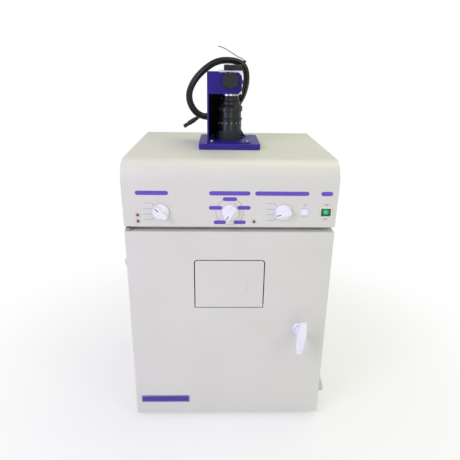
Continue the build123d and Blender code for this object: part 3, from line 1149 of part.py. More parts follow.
def nodes():
    return {
        "cabinet_shell": cabinet_shell,
        "rear_panel": rear_panel,
        "power_inlet": power_inlet,
        "deck_plate": deck_plate,
        "hood_cover": hood_cover,
        "vent_hoods": vent_hoods,
        "hinge_brackets": hinge_brackets,
        "rubber_feet": rubber_feet,
        "strike_plate": strike_plate,
        "overhead_reflectors": overhead_reflectors,
        "overhead_tubes": overhead_tubes,
        "transilluminator_housing": transilluminator_housing,
        "uv_filter_glass": uv_filter_glass,
        "transilluminator_tubes": transilluminator_tubes,
        "ballasts": ballasts,
        "rotary_switches": rotary_switches,
        "filter_bushing": filter_bushing,
        "shaft_support": shaft_support,
        "wheel_hanger": wheel_hanger,
        "power_bezel": lambda: on_panel(switch_bezel(POWER_BEZEL, POWER_ROCKER), POWER_X, POWER_S),
        "aux_bezel": lambda: on_panel(switch_bezel(AUX_BEZEL, AUX_ROCKER), AUX_X, AUX_S),
        "indicator_lamps": indicator_lamps,
        "camera_base_plate": camera_base_plate,
        "plate_screws": plate_screws,
        "camera_bracket": camera_bracket,
        "door_skin": door_skin,
        "door_inner_panel": door_inner_panel,
        "door_gasket": door_gasket,
        "window_pane": window_pane,
        "touch_latch": touch_latch,
        "handle_rose": handle_rose,
        "viewer_flap": viewer_flap,
        "handle_lever": handle_lever,
        "latch_spindle": latch_spindle,
        "latch_cam": latch_cam,
        "overhead_knob": lambda: side_knob(LEFT_KNOB_X, LEFT_POINTER),
        "transilluminator_knob": lambda: side_knob(RIGHT_KNOB_X, RIGHT_POINTER),
        "filter_knob": lambda: on_panel(knob(FILTER_POINTER), FILTER_KNOB_X, KNOB_S),
        "filter_shaft": filter_shaft,
        "knob_bevel_gear": knob_bevel_gear,
        "wheel_bevel_gear": wheel_bevel_gear,
        "filter_wheel": filter_wheel,
        "filter_glasses": filter_glasses,
        "power_rocker": lambda: on_panel(switch_rocker(POWER_ROCKER, -ROCKER_TILT), POWER_X, POWER_S),
        "aux_rocker": lambda: on_panel(switch_rocker(AUX_ROCKER, 0), AUX_X, AUX_S),
        "camera_body": camera_body,
        "camera_rear_cap": camera_rear_cap,
        "camera_connector": camera_connector,
        "lens_mount_ring": lens_mount_ring,
        "lens_barrel": lens_barrel,
        "front_lens": front_lens,
        "iris_ring": iris_ring,
        "zoom_ring": zoom_ring,
        "focus_ring": focus_ring,
        "clamp_knob": clamp_knob,
        "cable_coil": cable_coil,
        "cable_lead": cable_lead,
        "cable_tail": cable_tail,
        "cable_plug": cable_plug,
        "cable_tie": cable_tie,
    }


os.makedirs("parts", exist_ok=True)
for name, make in nodes().items():
    made = make()
    shape = Compound(children=list(made)) if isinstance(made, list) else made
    shape.label = name
    export_step(shape, f"parts/{name}.step")
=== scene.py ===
import bpy
import numpy as np
from mathutils import Matrix, Vector


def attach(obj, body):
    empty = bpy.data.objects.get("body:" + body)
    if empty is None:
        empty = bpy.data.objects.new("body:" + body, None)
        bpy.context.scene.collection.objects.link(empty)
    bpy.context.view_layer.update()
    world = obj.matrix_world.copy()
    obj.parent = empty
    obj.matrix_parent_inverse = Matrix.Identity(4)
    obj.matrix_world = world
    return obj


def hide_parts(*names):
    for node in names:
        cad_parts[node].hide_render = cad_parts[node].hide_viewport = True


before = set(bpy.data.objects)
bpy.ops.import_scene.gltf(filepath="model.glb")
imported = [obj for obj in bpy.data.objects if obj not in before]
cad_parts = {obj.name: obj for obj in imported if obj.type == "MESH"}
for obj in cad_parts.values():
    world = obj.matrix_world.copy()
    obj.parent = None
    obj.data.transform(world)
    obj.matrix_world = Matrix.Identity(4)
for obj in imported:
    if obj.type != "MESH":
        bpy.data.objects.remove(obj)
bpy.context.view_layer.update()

# Camera: where the photograph was taken from, about 1.1 m in front of the door and looking down
# 21 degrees, with the small turn and tilt of a hand-held shot.
eye = np.array([-0.0246, -1.0744, 0.8441])
pitch, yaw, roll = np.radians([20.67, 1.56, 0.80])
ahead = np.array([np.sin(yaw) * np.cos(pitch), np.cos(yaw) * np.cos(pitch), -np.sin(pitch)])
level = np.array([np.cos(yaw), -np.sin(yaw), 0.0])
above = np.cross(level, ahead)
side = np.cos(roll) * level + np.sin(roll) * above
top = -np.sin(roll) * level + np.cos(roll) * above
camera_data = bpy.data.cameras.new("photo_camera")
focal_px, picture_px, sensor_mm = 450.6, 460, 36
camera_data.lens = focal_px / picture_px * sensor_mm
camera_data.sensor_width = sensor_mm
camera_data.clip_end = 20
camera = bpy.data.objects.new("photo_camera", camera_data)
bpy.context.collection.objects.link(camera)
camera.matrix_world = Matrix([[side[i], top[i], -ahead[i], eye[i]] for i in range(3)] + [[0, 0, 0, 1]])
bpy.context.scene.camera = camera
bpy.context.scene.view_settings.view_transform = "Standard"


# Paint on the cabinet: light warm grey powder coat, sprayed dry and baked. The eye sees a soft sheen with
# a fine orange peel about 1.5 mm across, and very slightly uneven tone over the large panels.
def linear(hex_colour, alpha=1.0):
    """sRGB hex to linear RGBA: each channel goes through the sRGB curve."""
    channels = np.array([int(hex_colour[i:i + 2], 16) for i in (1, 3, 5)]) / 255
    curve = np.where(channels <= 0.04045, channels / 12.92, ((channels + 0.055) / 1.055) ** 2.4)
    return (*[float(c) for c in curve], alpha)


def add(tree, kind, links=None, **settings):
    """Adds one node, sets its settings, and fills its inputs with values or links."""
    made = tree.nodes.new(kind)
    for key, value in settings.items():
        setattr(made, key, value)
    for key, value in (links or {}).items():
        if isinstance(value, bpy.types.NodeSocket):
            tree.links.new(value, made.inputs[key])
        else:
            made.inputs[key].default_value = value
    return made


def blank(name):
    """An empty node material: returns it, its tree, and its output node."""
    made = bpy.data.materials.new(name)
    made.use_nodes = True
    made.node_tree.nodes.clear()
    return made, made.node_tree, made.node_tree.nodes.new("ShaderNodeOutputMaterial")


def grained(name, light, dark, patch_mm, grain_mm, depth_mm, rough, **sockets):
    """Two near tones in soft patches under a fine bump, sizes in millimetres, gloss uneven by 0.05."""
    made, tree, out = blank(name)
    where = add(tree, "ShaderNodeTexCoord").outputs["Object"]
    patch = add(tree, "ShaderNodeTexNoise", {"Vector": where, "Scale": 1000 / patch_mm, "Detail": 3.0})
    tone = add(tree, "ShaderNodeValToRGB", {"Fac": patch.outputs["Fac"]})
    tone.color_ramp.elements[0].position, tone.color_ramp.elements[1].position = 0.35, 0.65
    tone.color_ramp.elements[0].color = linear(dark)
    tone.color_ramp.elements[1].color = linear(light)
    grain = add(tree, "ShaderNodeTexNoise", {"Vector": where, "Scale": 1000 / grain_mm, "Detail": 2.0})
    bump = add(tree, "ShaderNodeBump", {"Height": grain.outputs["Fac"], "Strength": 1.0,
                                        "Distance": depth_mm / 1000})
    sheen = add(tree, "ShaderNodeMapRange", {"Value": grain.outputs["Fac"], "To Min": rough - 0.05,
                                             "To Max": rough + 0.05})
    shader = add(tree, "ShaderNodeBsdfPrincipled", {
        "Base Color": tone.outputs["Color"], "Roughness": sheen.outputs["Result"],
        "Normal": bump.outputs["Normal"], **sockets})
    tree.links.new(shader.outputs["BSDF"], out.inputs["Surface"])
    return made


def wear(material, *names):
    """Puts a material on pieces, given as CAD node names or objects."""
    for name in names:
        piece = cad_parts[name] if isinstance(name, str) else name
        if not piece.material_slots:
            piece.data.materials.append(material)
        for place in piece.material_slots:
            place.link = "OBJECT"
            place.material = material


powder_coat = grained("powder_coat_warm_grey", "#DAD9D2", "#D7D6CE", 160, 1.5, 0.05, 0.42)
wear(powder_coat, "cabinet_shell", "rear_panel", "hood_cover", "vent_hoods", "door_skin", "viewer_flap")
inside_coat = grained("powder_coat_inside_grey", "#D4D4CE", "#CCCBC4", 160, 1.5, 0.05, 0.5)
wear(inside_coat, "deck_plate", "door_inner_panel", "transilluminator_housing")


# Camera plate and bracket: violet-blue powder coat over 13 mm plate and folded steel. The coat is a little
# glossier than the cabinet's, so its edges catch lavender highlights. Inside the bracket, between its walls
# and above its foot, painted shade darkens the coat to near black, and the plate's rear left corner is
# rubbed through to a speckled brown primer.
def overpaint(material, colour, rough, mask):
    """Lays a second colour and roughness over a grained material, where mask(tree, where, axes) gives 1.

    A Mix node has its own two inputs and output for colours (6, 7 and 2) and for values (2, 3 and 0).
    """
    tree = material.node_tree
    shader = next(node for node in tree.nodes if node.type == "BSDF_PRINCIPLED")
    where = add(tree, "ShaderNodeTexCoord").outputs["Object"]
    axes = add(tree, "ShaderNodeSeparateXYZ", {0: where})
    share = mask(tree, where, axes.outputs)
    for socket, kind, over, (first, second, result) in (("Base Color", "RGBA", linear(colour), (6, 7, 2)),
                                                        ("Roughness", "FLOAT", rough, (2, 3, 0))):
        under = shader.inputs[socket].links[0].from_socket
        mix = add(tree, "ShaderNodeMix", {0: share, first: under, second: over}, data_type=kind)
        tree.links.new(mix.outputs[result], shader.inputs[socket])


def between(tree, value, low, high):
    """1 where low < value < high, else 0."""
    over = add(tree, "ShaderNodeMath", {0: value, 1: low}, operation="GREATER_THAN")
    under = add(tree, "ShaderNodeMath", {0: value, 1: high}, operation="LESS_THAN")
    both = add(tree, "ShaderNodeMath", {0: over.outputs[0], 1: under.outputs[0]}, operation="MULTIPLY")
    return both.outputs[0]


# Painted shade: the box inside the bracket, in metres, that is painted near black.
shade_box_x, shade_box_y, shade_box_z = (-0.0495, 0.03), (-0.0125, 0.0685), (0.668, 0.9)


def painted_shade_in_bracket(tree, where, axes):
    """Painted shade between the bracket's walls, above its foot: shares of the three axes, multiplied."""
    share = between(tree, axes[0], *shade_box_x)
    for axis, limits in ((1, shade_box_y), (2, shade_box_z)):
        step = between(tree, axes[axis], *limits)
        share = add(tree, "ShaderNodeMath", {0: share, 1: step}, operation="MULTIPLY").outputs[0]
    return share


worn_spot, worn_core, worn_reach, worn_share = (-0.063, 0.094, 0.6645), 0.006, 0.016, 0.62
speckles_per_metre = 900.0


def rubbed_corner(tree, where, axes):
    """Speckles 1.1 mm apart at the plate's rear left corner, densest within 6 mm and gone at 16 mm."""
    reach = add(tree, "ShaderNodeVectorMath", {0: where, 1: worn_spot}, operation="DISTANCE")
    near = add(tree, "ShaderNodeMapRange", {"Value": reach.outputs["Value"], "From Min": worn_core,
                                            "From Max": worn_reach, "To Min": worn_share, "To Max": 0.0})
    speckle = add(tree, "ShaderNodeTexNoise", {"Vector": where, "Scale": speckles_per_metre,
                                               "Detail": 3.0})
    return add(tree, "ShaderNodeMath", {0: near.outputs["Result"], 1: speckle.outputs["Fac"]},
               operation="GREATER_THAN").outputs[0]


bracket_coat_and_shade = grained("powder_coat_violet_bracket_and_painted_shade", "#33248A", "#2B1E7A", 60, 1.2, 0.04, 0.34,
                      **{"Specular IOR Level": 0.2})
# Painted shade: near black laid over the coat inside the bracket.
overpaint(bracket_coat_and_shade, "#07060E", 0.7, painted_shade_in_bracket)
wear(bracket_coat_and_shade, "camera_bracket")
plate_coat = grained("powder_coat_violet_plate", "#382A90", "#302384", 60, 1.2, 0.04, 0.34,
                    **{"Specular IOR Level": 0.3})
overpaint(plate_coat, "#8C6A52", 0.7, rubbed_corner)
wear(plate_coat, "camera_base_plate")

# Fasteners, pivots and small brackets: steel with bright zinc plate, faintly cloudy from the plating
# barrel. The shafts are bare turned steel, and the lens mount and the camera's connector are nickelled.
zinc_plate = grained("zinc_plated_steel", "#B9BBBF", "#9C9EA4", 6, 0.6, 0.01, 0.32, Metallic=1.0)
wear(zinc_plate, "hinge_brackets", "strike_plate", "ballasts", "filter_bushing", "shaft_support",
     "plate_screws", "latch_cam")
turned_steel = grained("turned_steel", "#BFC1C4", "#A8AAAD", 3, 0.3, 0.006, 0.25, Metallic=1.0)
wear(turned_steel, "filter_shaft", "wheel_hanger", "latch_spindle")
nickel = grained("nickel_plated_brass", "#D8D6D0", "#B9B7B2", 4, 0.4, 0.005, 0.2, Metallic=1.0)
wear(nickel, "lens_mount_ring", "camera_connector")

# Feet and door seal: moulded black rubber, and a strip of closed-cell foam stuck round the door's back.
# Both look matt and nearly black, and the foam is finely pitted.
foot_rubber = grained("moulded_rubber", "#232323", "#1A1A1A", 20, 0.8, 0.05, 0.75)
wear(foot_rubber, "rubber_feet")
seal_foam = grained("closed_cell_foam", "#2A2A2C", "#1D1D1F", 3, 0.8, 0.25, 0.9)
wear(seal_foam, "door_gasket")

# Knobs, door handle and rose: white gloss ABS, injection moulded, faintly blue-white beside the warm
# paint. The power switch's bezel is a cream shade of the same plastic.
white_abs = grained("white_abs", "#F0EFF7", "#EAE9F3", 30, 0.9, 0.01, 0.3)
wear(white_abs, "overhead_knob", "transilluminator_knob", "filter_knob", "handle_lever", "handle_rose",
     "aux_bezel", "aux_rocker")
cream_abs = grained("cream_abs", "#F2ECD8", "#EBE4CC", 30, 0.9, 0.01, 0.34)
wear(cream_abs, "power_bezel")

# Black mouldings: ABS with a light spark-eroded texture, which spreads each highlight to a soft grey
# sheen. The cable tie is plain nylon, a little smoother.
black_moulding = grained("black_textured_abs", "#181A1F", "#121418", 25, 0.7, 0.06, 0.5)
wear(black_moulding, "clamp_knob", "camera_rear_cap", "power_inlet", "touch_latch", "rotary_switches",
     "filter_wheel", "cable_plug")
tie_nylon = grained("black_nylon", "#202124", "#17181A", 10, 0.6, 0.02, 0.4)
wear(tie_nylon, "cable_tie")

# Filter gears: the bevel pair that turns the filter wheel, moulded in natural acetal, which looks milky
# and waxy.
acetal = grained("natural_acetal", "#ECE8DA", "#E2DDCB", 20, 0.7, 0.01, 0.4)
wear(acetal, "knob_bevel_gear", "wheel_bevel_gear")

# Camera body: an aluminium casing in smooth white enamel, a shade cooler than the cabinet's paint. It is
# carried by the violet bracket.
enamel = grained("white_enamel", "#F1F1F4", "#E8E8EC", 40, 1.0, 0.02, 0.3)
wear(enamel, "camera_body")

# Lens: turned aluminium barrel and rings, anodised satin black, which give the eye soft upright streaks
# of light. The focus ring's fine ribs break the streaks, so its grip looks matt and a shade lighter.
anodised = grained("black_anodised_aluminium", "#16171C", "#0F1014", 12, 0.5, 0.01, 0.28)
wear(anodised, "lens_barrel", "iris_ring", "zoom_ring")
grip_foot_z, grip_top_z = 0.65, 0.6865


def grip_band(tree, where, axes):
    """The ribbed height of the focus ring."""
    return between(tree, axes[2], grip_foot_z, grip_top_z)


ribbed_grip = grained("black_anodised_focus_ring", "#16171C", "#0F1014", 12, 0.5, 0.01, 0.28)
overpaint(ribbed_grip, "#25292C", 0.6, grip_band)
wear(ribbed_grip, "focus_ring")

# Fluorescent tubes: glass coated white inside with phosphor, glossy and evenly pale. The overhead pair
# hangs in front of bright rolled aluminium reflectors.
phosphor = grained("phosphor_coated_glass", "#F4F5F6", "#ECEEF0", 40, 2.0, 0.002, 0.15)
wear(phosphor, "overhead_tubes", "transilluminator_tubes")
bright_sheet = grained("bright_rolled_aluminium", "#D5D7DA", "#C6C8CC", 30, 0.7, 0.01, 0.25, Metallic=1.0)
wear(bright_sheet, "overhead_reflectors")

# Indicator lamps: dark red moulded acrylic lenses, unlit. Their gloss catches one small highlight, and
# each sits in its pale collar on the panel.
red_lens = grained("red_acrylic_lens", "#8E0014", "#6E0010", 4, 1.0, 0.002, 0.12)
wear(red_lens, "indicator_lamps")

# Power rocker: translucent green acrylic over a neon lamp, which shows as a bright spot in its middle
# and fades out over 7 mm.
rocker_middle, neon_reach, neon_glow = (0.2019, -0.1746, 0.5456), 0.007, 0.9
green_lens = grained("green_translucent_acrylic", "#0A7A58", "#075C42", 6, 1.0, 0.002, 0.2)
tree = green_lens.node_tree
shader = next(node for node in tree.nodes if node.type == "BSDF_PRINCIPLED")
where = add(tree, "ShaderNodeTexCoord").outputs["Object"]
reach = add(tree, "ShaderNodeVectorMath", {0: where, 1: rocker_middle}, operation="DISTANCE")
neon = add(tree, "ShaderNodeMapRange", {"Value": reach.outputs["Value"], "From Min": 0.0,
                                        "From Max": neon_reach, "To Min": neon_glow, "To Max": 0.0})
shader.inputs["Emission Color"].default_value = linear("#3BE0A6")
tree.links.new(neon.outputs["Result"], shader.inputs["Emission Strength"])
wear(green_lens, "power_rocker")


# Glass: clear window pane, filter discs, lens front and the dark filter over the light box. All are
# polished and mirror the room, and their colour is in the glass or its coating.
def glazed(name, tint, rough, see_through):
    """Coated glass: a gloss layer over a tinted, partly clear body."""
    made, tree, out = blank(name)
    shader = add(tree, "ShaderNodeBsdfPrincipled", {"Base Color": linear(tint), "Roughness": rough,
                                                    "IOR": 1.5, "Alpha": see_through})
    tree.links.new(shader.outputs["BSDF"], out.inputs["Surface"])
    return made


wear(glazed("float_glass", "#C8D0CC", 0.03, 0.25), "window_pane")
wear(glazed("uv_filter_glass", "#1C1036", 0.06, 0.9), "uv_filter_glass")
wear(glazed("amber_filter_glass", "#C8702A", 0.04, 0.6), "filter_glasses")
wear(glazed("coated_lens_glass", "#141024", 0.02, 0.9), "front_lens")

# Printing on the control panel: screen-printed violet pills, a thin ring and leader lines round the knobs,
# plain ON and OFF at the power switch and a dash at the other. The ink lies within 0.1 mm of the paint.
panel_lean = np.radians(4.0)
panel_foot = np.array([0.0, -0.1722, 0.5108])
panel_up = np.array([0.0, -np.sin(panel_lean), np.cos(panel_lean)])
panel_out = np.array([0.0, -np.cos(panel_lean), -np.sin(panel_lean)])


def on_panel(points, out_mm):
    """Panel millimetres to metres: foot + x right + s up the panel + out along its normal."""
    flat = np.asarray(points, float)
    return panel_foot + (flat[:, :1] * [1.0, 0.0, 0.0] + flat[:, 1:] * panel_up + out_mm * panel_out) / 1000


def pill(x0, x1, middle, height, corner=None, steps=8):
    """Outline of a bar with round corners, anticlockwise: four quarter circles."""
    corner = height / 2 if corner is None else corner
    points = []
    for quarter, (cx, cy) in enumerate(((x1 - corner, middle + height / 2 - corner),
                                        (x0 + corner, middle + height / 2 - corner),
                                        (x0 + corner, middle - height / 2 + corner),
                                        (x1 - corner, middle - height / 2 + corner))):
        angles = np.pi / 2 * (quarter + np.linspace(0, 1, steps))
        points += [(cx + corner * np.cos(a), cy + corner * np.sin(a)) for a in angles]
    return [points]


def ring_band(x, middle, inner, outer, steps=64):
    """A flat ring as quads between two circles."""
    angles = np.linspace(0, 2 * np.pi, steps + 1)
    inside = [(x + inner * np.cos(a), middle + inner * np.sin(a)) for a in angles]
    outside = [(x + outer * np.cos(a), middle + outer * np.sin(a)) for a in angles]
    return [[inside[i], outside[i], outside[i + 1], inside[i + 1]] for i in range(steps)]


def stroke(points, width):
    """A line of straight runs, each a thin rectangle."""
    runs = []
    for start, end in zip(np.array(points[:-1], float), np.array(points[1:], float)):
        way = (end - start) / np.linalg.norm(end - start) * width / 2
        across = np.array([-way[1], way[0]])
        runs.append([start - way - across, end + way - across, end + way + across, start - way + across])
    return runs


def decal(name, body, material, outlines, place):
    """One thin print from flat outlines: place() turns their points to metres."""
    mesh = bpy.data.meshes.new(name)
    starts = np.cumsum([0] + [len(outline) for outline in outlines])
    faces = [list(range(a, b)) for a, b in zip(starts[:-1], starts[1:])]
    flat = np.vstack([np.asarray(outline, float) for outline in outlines])
    mesh.from_pydata(place(flat).tolist(), [], faces)
    piece = bpy.data.objects.new(name, mesh)
    bpy.context.collection.objects.link(piece)
    mesh.materials.append(material)
    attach(piece, body)
    return piece


capital_share = 0.7


def letters(text, height, x, y):
    """Outlines of the faces of a word, centred on x, y, in millimetres: font size = height / share."""
    font = bpy.data.curves.new("word", "FONT")
    font.body = text
    font.align_x = "CENTER"
    font.align_y = "CENTER"
    font.size = height / capital_share
    holder = bpy.data.objects.new("word", font)
    bpy.context.collection.objects.link(holder)
    bpy.context.view_layer.update()
    mesh = bpy.data.meshes.new_from_object(holder.evaluated_get(bpy.context.evaluated_depsgraph_get()))
    outlines = [[(mesh.vertices[i].co.x + x, mesh.vertices[i].co.y + y) for i in face.vertices]
                for face in mesh.polygons]
    bpy.data.objects.remove(holder)
    bpy.data.curves.remove(font)
    bpy.data.meshes.remove(mesh)
    return outlines


violet_ink = grained("violet_screen_ink", "#6A4ABF", "#6244B6", 20, 0.6, 0.004, 0.45)
line_ink = grained("blue_violet_screen_ink", "#5A4AAE", "#5343A4", 20, 0.6, 0.004, 0.45)
dark_ink = grained("black_screen_ink", "#1C1A22", "#141218", 20, 0.6, 0.004, 0.45)
title_s, title_height, small_height, knob_s = 75.8, 9.4, 8.6, 34.6
left_knob_x, middle_knob_x, right_knob_x, power_x = -145.4, 0.0, 111.9, 201.9
pill_lift, line_lift = 0.08, 0.05
pills = []
for x0, x1 in ((-196.9, -128.7), (-44.3, 41.1), (51.0, 163.6), (188.4, 213.2)):
    pills += pill(x0, x1, title_s, title_height)
for x, middle, width in ((-1.2, 63.1, 30.0), (-31.0, 43.5, 28.0), (28.7, 43.9, 28.0), (-22.1, 10.6, 26.0),
                         (20.2, 10.8, 26.0)):
    pills += pill(x - width / 2, x + width / 2, middle, small_height)
decal("panel_pills", "cabinet", violet_ink, pills, lambda flat: on_panel(flat, pill_lift))
dial_x, dial_inner, dial_outer = -1.0, 29.2, 29.8
leader_start, steep_elbow, flat_elbow, leader_stop_x, leader_width = 19.5, 27.0, 23.0, -36.0, 0.5


def towards(angle):
    """The unit direction on the panel at an angle in degrees from its right-hand side."""
    return np.array([np.cos(np.radians(angle)), np.sin(np.radians(angle))])


lines = ring_band(dial_x, knob_s, dial_inner, dial_outer)
for knob_x in (left_knob_x, right_knob_x):
    for angle, bend in ((135, steep_elbow), (165, flat_elbow), (195, flat_elbow), (225, steep_elbow)):
        inner, elbow = towards(angle) * leader_start, towards(angle) * bend
        stop = np.array([leader_stop_x, elbow[1]])
        lines += stroke([(knob_x + x, knob_s + s) for x, s in (inner, elbow, stop)], leader_width)
decal("panel_leaders", "cabinet", line_ink, lines, lambda flat: on_panel(flat, line_lift))
word_height, on_s, off_s, dash, dash_width = 3.6, 51.6, 18.2, [(153.6, 51.0), (159.4, 51.0)], 0.7
words = letters("ON", word_height, power_x, on_s) + letters("OFF", word_height, power_x, off_s)
words += stroke(dash, dash_width)
decal("switch_marks", "cabinet", dark_ink, words, lambda flat: on_panel(flat, line_lift))

# Pointer lines on the knobs, filled with black paint, and pale nylon collars round the indicator lamps.
# Each line turns with its knob, and the collars stay on the panel.
pointer_start, pointer_stop, pointer_width, knob_face_lift = 7.0, 14.6, 1.7, 13.66
for body, knob_x, angle in (("overhead_knob", left_knob_x, 135), ("filter_knob", middle_knob_x, 234),
                            ("transilluminator_knob", right_knob_x, 195)):
    centre = np.array([knob_x, knob_s])
    line = [centre + towards(angle) * pointer_start, centre + towards(angle) * pointer_stop]
    decal("pointer_of_" + body, body, dark_ink, stroke(line, pointer_width),
          lambda flat: on_panel(flat, knob_face_lift))
collar_nylon = grained("natural_nylon_collar", "#DCD3C6", "#D2C8BA", 6, 0.5, 0.004, 0.4)
collar_inner, collar_outer, collar_lift, collar_steps = 2.75, 3.95, 1.26, 32
collars = []
for lamp_x, lamp_s in ((-194.5, 26.5), (-194.5, 12.4), (50.6, 12.4)):
    collars += ring_band(lamp_x, lamp_s, collar_inner, collar_outer, collar_steps)
decal("lamp_collars", "cabinet", collar_nylon, collars,
      lambda flat: on_panel(flat, collar_lift))

# Label plate low on the door: a bare violet plate 0.5 mm thick, stuck flat to the skin, with a thin white
# keyline printed round its edge.
label_x0, label_x1, label_z, label_height, door_y = -212.0, -94.4, 58.05, 19.7, -175.0
label_thickness, label_corner, keyline_lift = 0.5, 2.5, 0.56


def on_door(flat, out_mm):
    """Door millimetres to metres, out along -Y from the skin."""
    return np.column_stack([flat[:, 0], np.full(len(flat), door_y - out_mm), flat[:, 1]]) / 1000


label_ink = grained("violet_printed_plate", "#46309A", "#3F2B90", 30, 0.8, 0.004, 0.35)
keyline_ink = grained("white_screen_ink", "#ECEAF2", "#E4E2EC", 20, 0.6, 0.004, 0.45)
face = pill(label_x0, label_x1, label_z, label_height, label_corner)
label_plate = decal("label_plate", "door", label_ink, face,
                    lambda flat: on_door(flat, label_thickness))
thick = label_plate.modifiers.new("plate thickness", "SOLIDIFY")
thick.thickness = label_thickness / 1000
thick.offset = -1


def inset(margin, corner):
    """Outline of the plate drawn in by a margin on every side."""
    return pill(label_x0 + margin, label_x1 - margin, label_z, label_height - 2 * margin, corner)[0]


outer, inner = inset(1.4, 1.8), inset(1.9, 1.4)
count = len(outer)
keyline = [[inner[i], outer[i], outer[(i + 1) % count], inner[(i + 1) % count]] for i in range(count)]
decal("label_keyline", "door", keyline_ink, keyline,
      lambda flat: on_door(flat, keyline_lift))

# Distance scale on the focus ring: engraved numbers filled with pale green paint, and the black set screw
# in the barrel above it.
lens_y = 32.0


def round_lens(flat, radius):
    """Wraps flat millimetres round the lens: x is arc length from the front, y is height."""
    angle = flat[:, 0] / radius
    return np.column_stack([radius * np.sin(angle), lens_y - radius * np.cos(angle), flat[:, 1]]) / 1000


scale_radius, scale_z, number_height, number_pitch, front_number = 29.46, 704.3, 4.2, 12.5, 2.6
numbers = []
for place, text in enumerate(("1.2", "1.5", "2", "3", "5", "10")):
    numbers += letters(text, number_height, (place - front_number) * number_pitch, scale_z)
scale_ink = grained("pale_green_filled_engraving", "#A6E0A8", "#96D49A", 20, 0.6, 0.004, 0.45)
decal("focus_scale", "focus_ring", scale_ink, numbers,
      lambda flat: round_lens(flat, scale_radius))
screw_x, screw_z, screw_radius, barrel_radius = -9.9, 723.0, 1.3, 28.46
screw = [[(screw_x + screw_radius * np.cos(a), screw_z + screw_radius * np.sin(a))
          for a in np.linspace(0, 2 * np.pi, 20)[:-1]]]
decal("set_screw", "camera", dark_ink, screw, lambda flat: round_lens(flat, barrel_radius))

# Camera cable: 6.5 mm black PVC, about 2 m long, wound four times and tied. It leaves the connector
# behind the camera, drops into the coil and comes out below as a short tail with its plug.
coil_y = 80.4
lead = np.array([(-5, 101, 828), (-5, 117, 828), (4, 131, 822), (20, 134, 810), (33, 124, 796),
                 (39.5, 106, 782), (38, 92, 766), (33, 83, 752), (14, 81, 733), (-12, 80.6, 721)])
ring = np.array([(12, 843.5), (37, 832), (43.5, 798), (33, 757), (6, 722), (-30, 710), (-68, 710),
                 (-92, 730), (-101, 763), (-86, 797), (-58, 825), (-27, 843)])
middle = np.array([-29.0, 776.0])
strand_reach, turn_count, first_corner, twist_per_turn = 5.1, 4, 5, 75
corners = len(ring)
turns = []
for step in range(turn_count * corners):
    corner = ring[(first_corner + step) % corners]
    outward = (corner - middle) / np.linalg.norm(corner - middle)
    twist = np.radians(90 + twist_per_turn * step / corners)
    x, z = corner + outward * strand_reach * np.cos(twist)
    turns.append((x, coil_y + strand_reach * np.sin(twist), z))
tail = np.array([(-34, 85, 713), (-51, 94, 715.5), (-66, 97, 714.5), (-76, 98.2, 708)])
route = np.vstack([lead, turns, tail]) / 1000
cable_radius = 0.00325
cable_data = bpy.data.curves.new("camera_cable", "CURVE")
cable_data.dimensions = "3D"
cable_data.bevel_depth = cable_radius
cable_data.bevel_resolution = 5
cable_data.resolution_u = 10
spline = cable_data.splines.new("NURBS")
spline.points.add(len(route) - 1)
spline.points.foreach_set("co", np.column_stack([route, np.ones(len(route))]).ravel())
spline.order_u = 3
spline.use_endpoint_u = True
cable = bpy.data.objects.new("camera_cable", cable_data)
bpy.context.collection.objects.link(cable)
cable_pvc = grained("black_pvc_jacket", "#191916", "#0F0F0E", 20, 1.0, 0.02, 0.26)
cable_data.materials.append(cable_pvc)
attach(cable, "camera")
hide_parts("cable_lead", "cable_coil", "cable_tail")

# Studio: a white paper floor that fades to pure white away from the cabinet, a pale sky, three soft boxes
# and two low strips. The left lamps are lavender and the others a touch green, as in the photograph.
floor_half = 6
floor_corners = [(floor_half * x, floor_half * y, 0) for x, y in ((-1, -1), (1, -1), (1, 1), (-1, 1))]
floor_mesh = bpy.data.meshes.new("studio_floor")
floor_mesh.from_pydata(floor_corners, [], [(0, 1, 2, 3)])
studio_floor = bpy.data.objects.new("studio_floor", floor_mesh)
bpy.context.collection.objects.link(studio_floor)
white_paper, tree, out = blank("white_paper_sweep")
paper = add(tree, "ShaderNodeBsdfDiffuse", {"Color": linear("#F4F4F4")})
glow = add(tree, "ShaderNodeEmission", {"Color": linear("#FFFFFF"), "Strength": 1.0})
rays = add(tree, "ShaderNodeLightPath")
seen = add(tree, "ShaderNodeMath", {0: rays.outputs["Is Camera Ray"], 1: rays.outputs["Is Glossy Ray"]},
           operation="MAXIMUM")
where = add(tree, "ShaderNodeTexCoord").outputs["Object"]
away = add(tree, "ShaderNodeVectorMath", {0: where}, operation="LENGTH")
paper_reach, white_reach, least_glow = 0.3, 1.0, 0.5
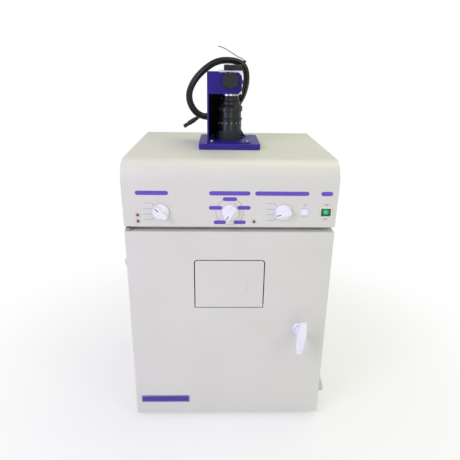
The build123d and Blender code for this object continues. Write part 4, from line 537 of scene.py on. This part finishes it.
fade = add(tree, "ShaderNodeMapRange", {"Value": away.outputs["Value"], "From Min": paper_reach,
                                        "From Max": white_reach, "To Min": least_glow, "To Max": 1.0},
           interpolation_type="SMOOTHSTEP")
share = add(tree, "ShaderNodeMath", {0: seen.outputs[0], 1: fade.outputs["Result"]}, operation="MULTIPLY")
mixed = add(tree, "ShaderNodeMixShader", {0: share.outputs[0], 1: paper.outputs[0], 2: glow.outputs[0]})
tree.links.new(mixed.outputs[0], out.inputs["Surface"])
floor_mesh.materials.append(white_paper)
sky = bpy.data.worlds.new("studio_sky")
bpy.context.scene.world = sky
sky.use_nodes = True
sky.node_tree.nodes.clear()
tree = sky.node_tree
rays = add(tree, "ShaderNodeLightPath")
seen = add(tree, "ShaderNodeMath", {0: rays.outputs["Is Camera Ray"],
                                    1: rays.outputs["Is Transmission Ray"]}, operation="MAXIMUM")
plain = add(tree, "ShaderNodeBackground", {"Color": linear("#FFFFFF"), "Strength": 0.55})
white = add(tree, "ShaderNodeBackground", {"Color": linear("#FFFFFF"), "Strength": 1.0})
both = add(tree, "ShaderNodeMixShader", {0: seen.outputs[0], 1: plain.outputs[0], 2: white.outputs[0]})
add(tree, "ShaderNodeOutputWorld", {"Surface": both.outputs[0]})
aim = Vector((0, 0, 0.4))
for name, place, power, size, tint in (("left_soft_box", (-1.5, -1.6, 1.9), 25, 0.9, "#E9DDFF"),
                                       ("right_soft_box", (1.7, -1.5, 1.9), 10, 0.9, "#F2FFDE"),
                                       ("top_soft_box", (0.5, 0.4, 2.5), 12, 1.2, "#F4FFBE"),
                                       ("left_strip", (-1.35, -1.5, 0.55), 3.5, 0.4, "#B9A8FF"),
                                       ("right_strip", (0.5, -1.7, 0.5), 1.2, 0.3, "#D8F0E4")):
    lamp = bpy.data.lights.new(name, "AREA")
    lamp.energy = power
    lamp.size = size
    lamp.color = linear(tint)[:3]
    holder = bpy.data.objects.new(name, lamp)
    bpy.context.collection.objects.link(holder)
    holder.location = place
    holder.rotation_euler = (aim - Vector(place)).to_track_quat("-Z", "Y").to_euler()
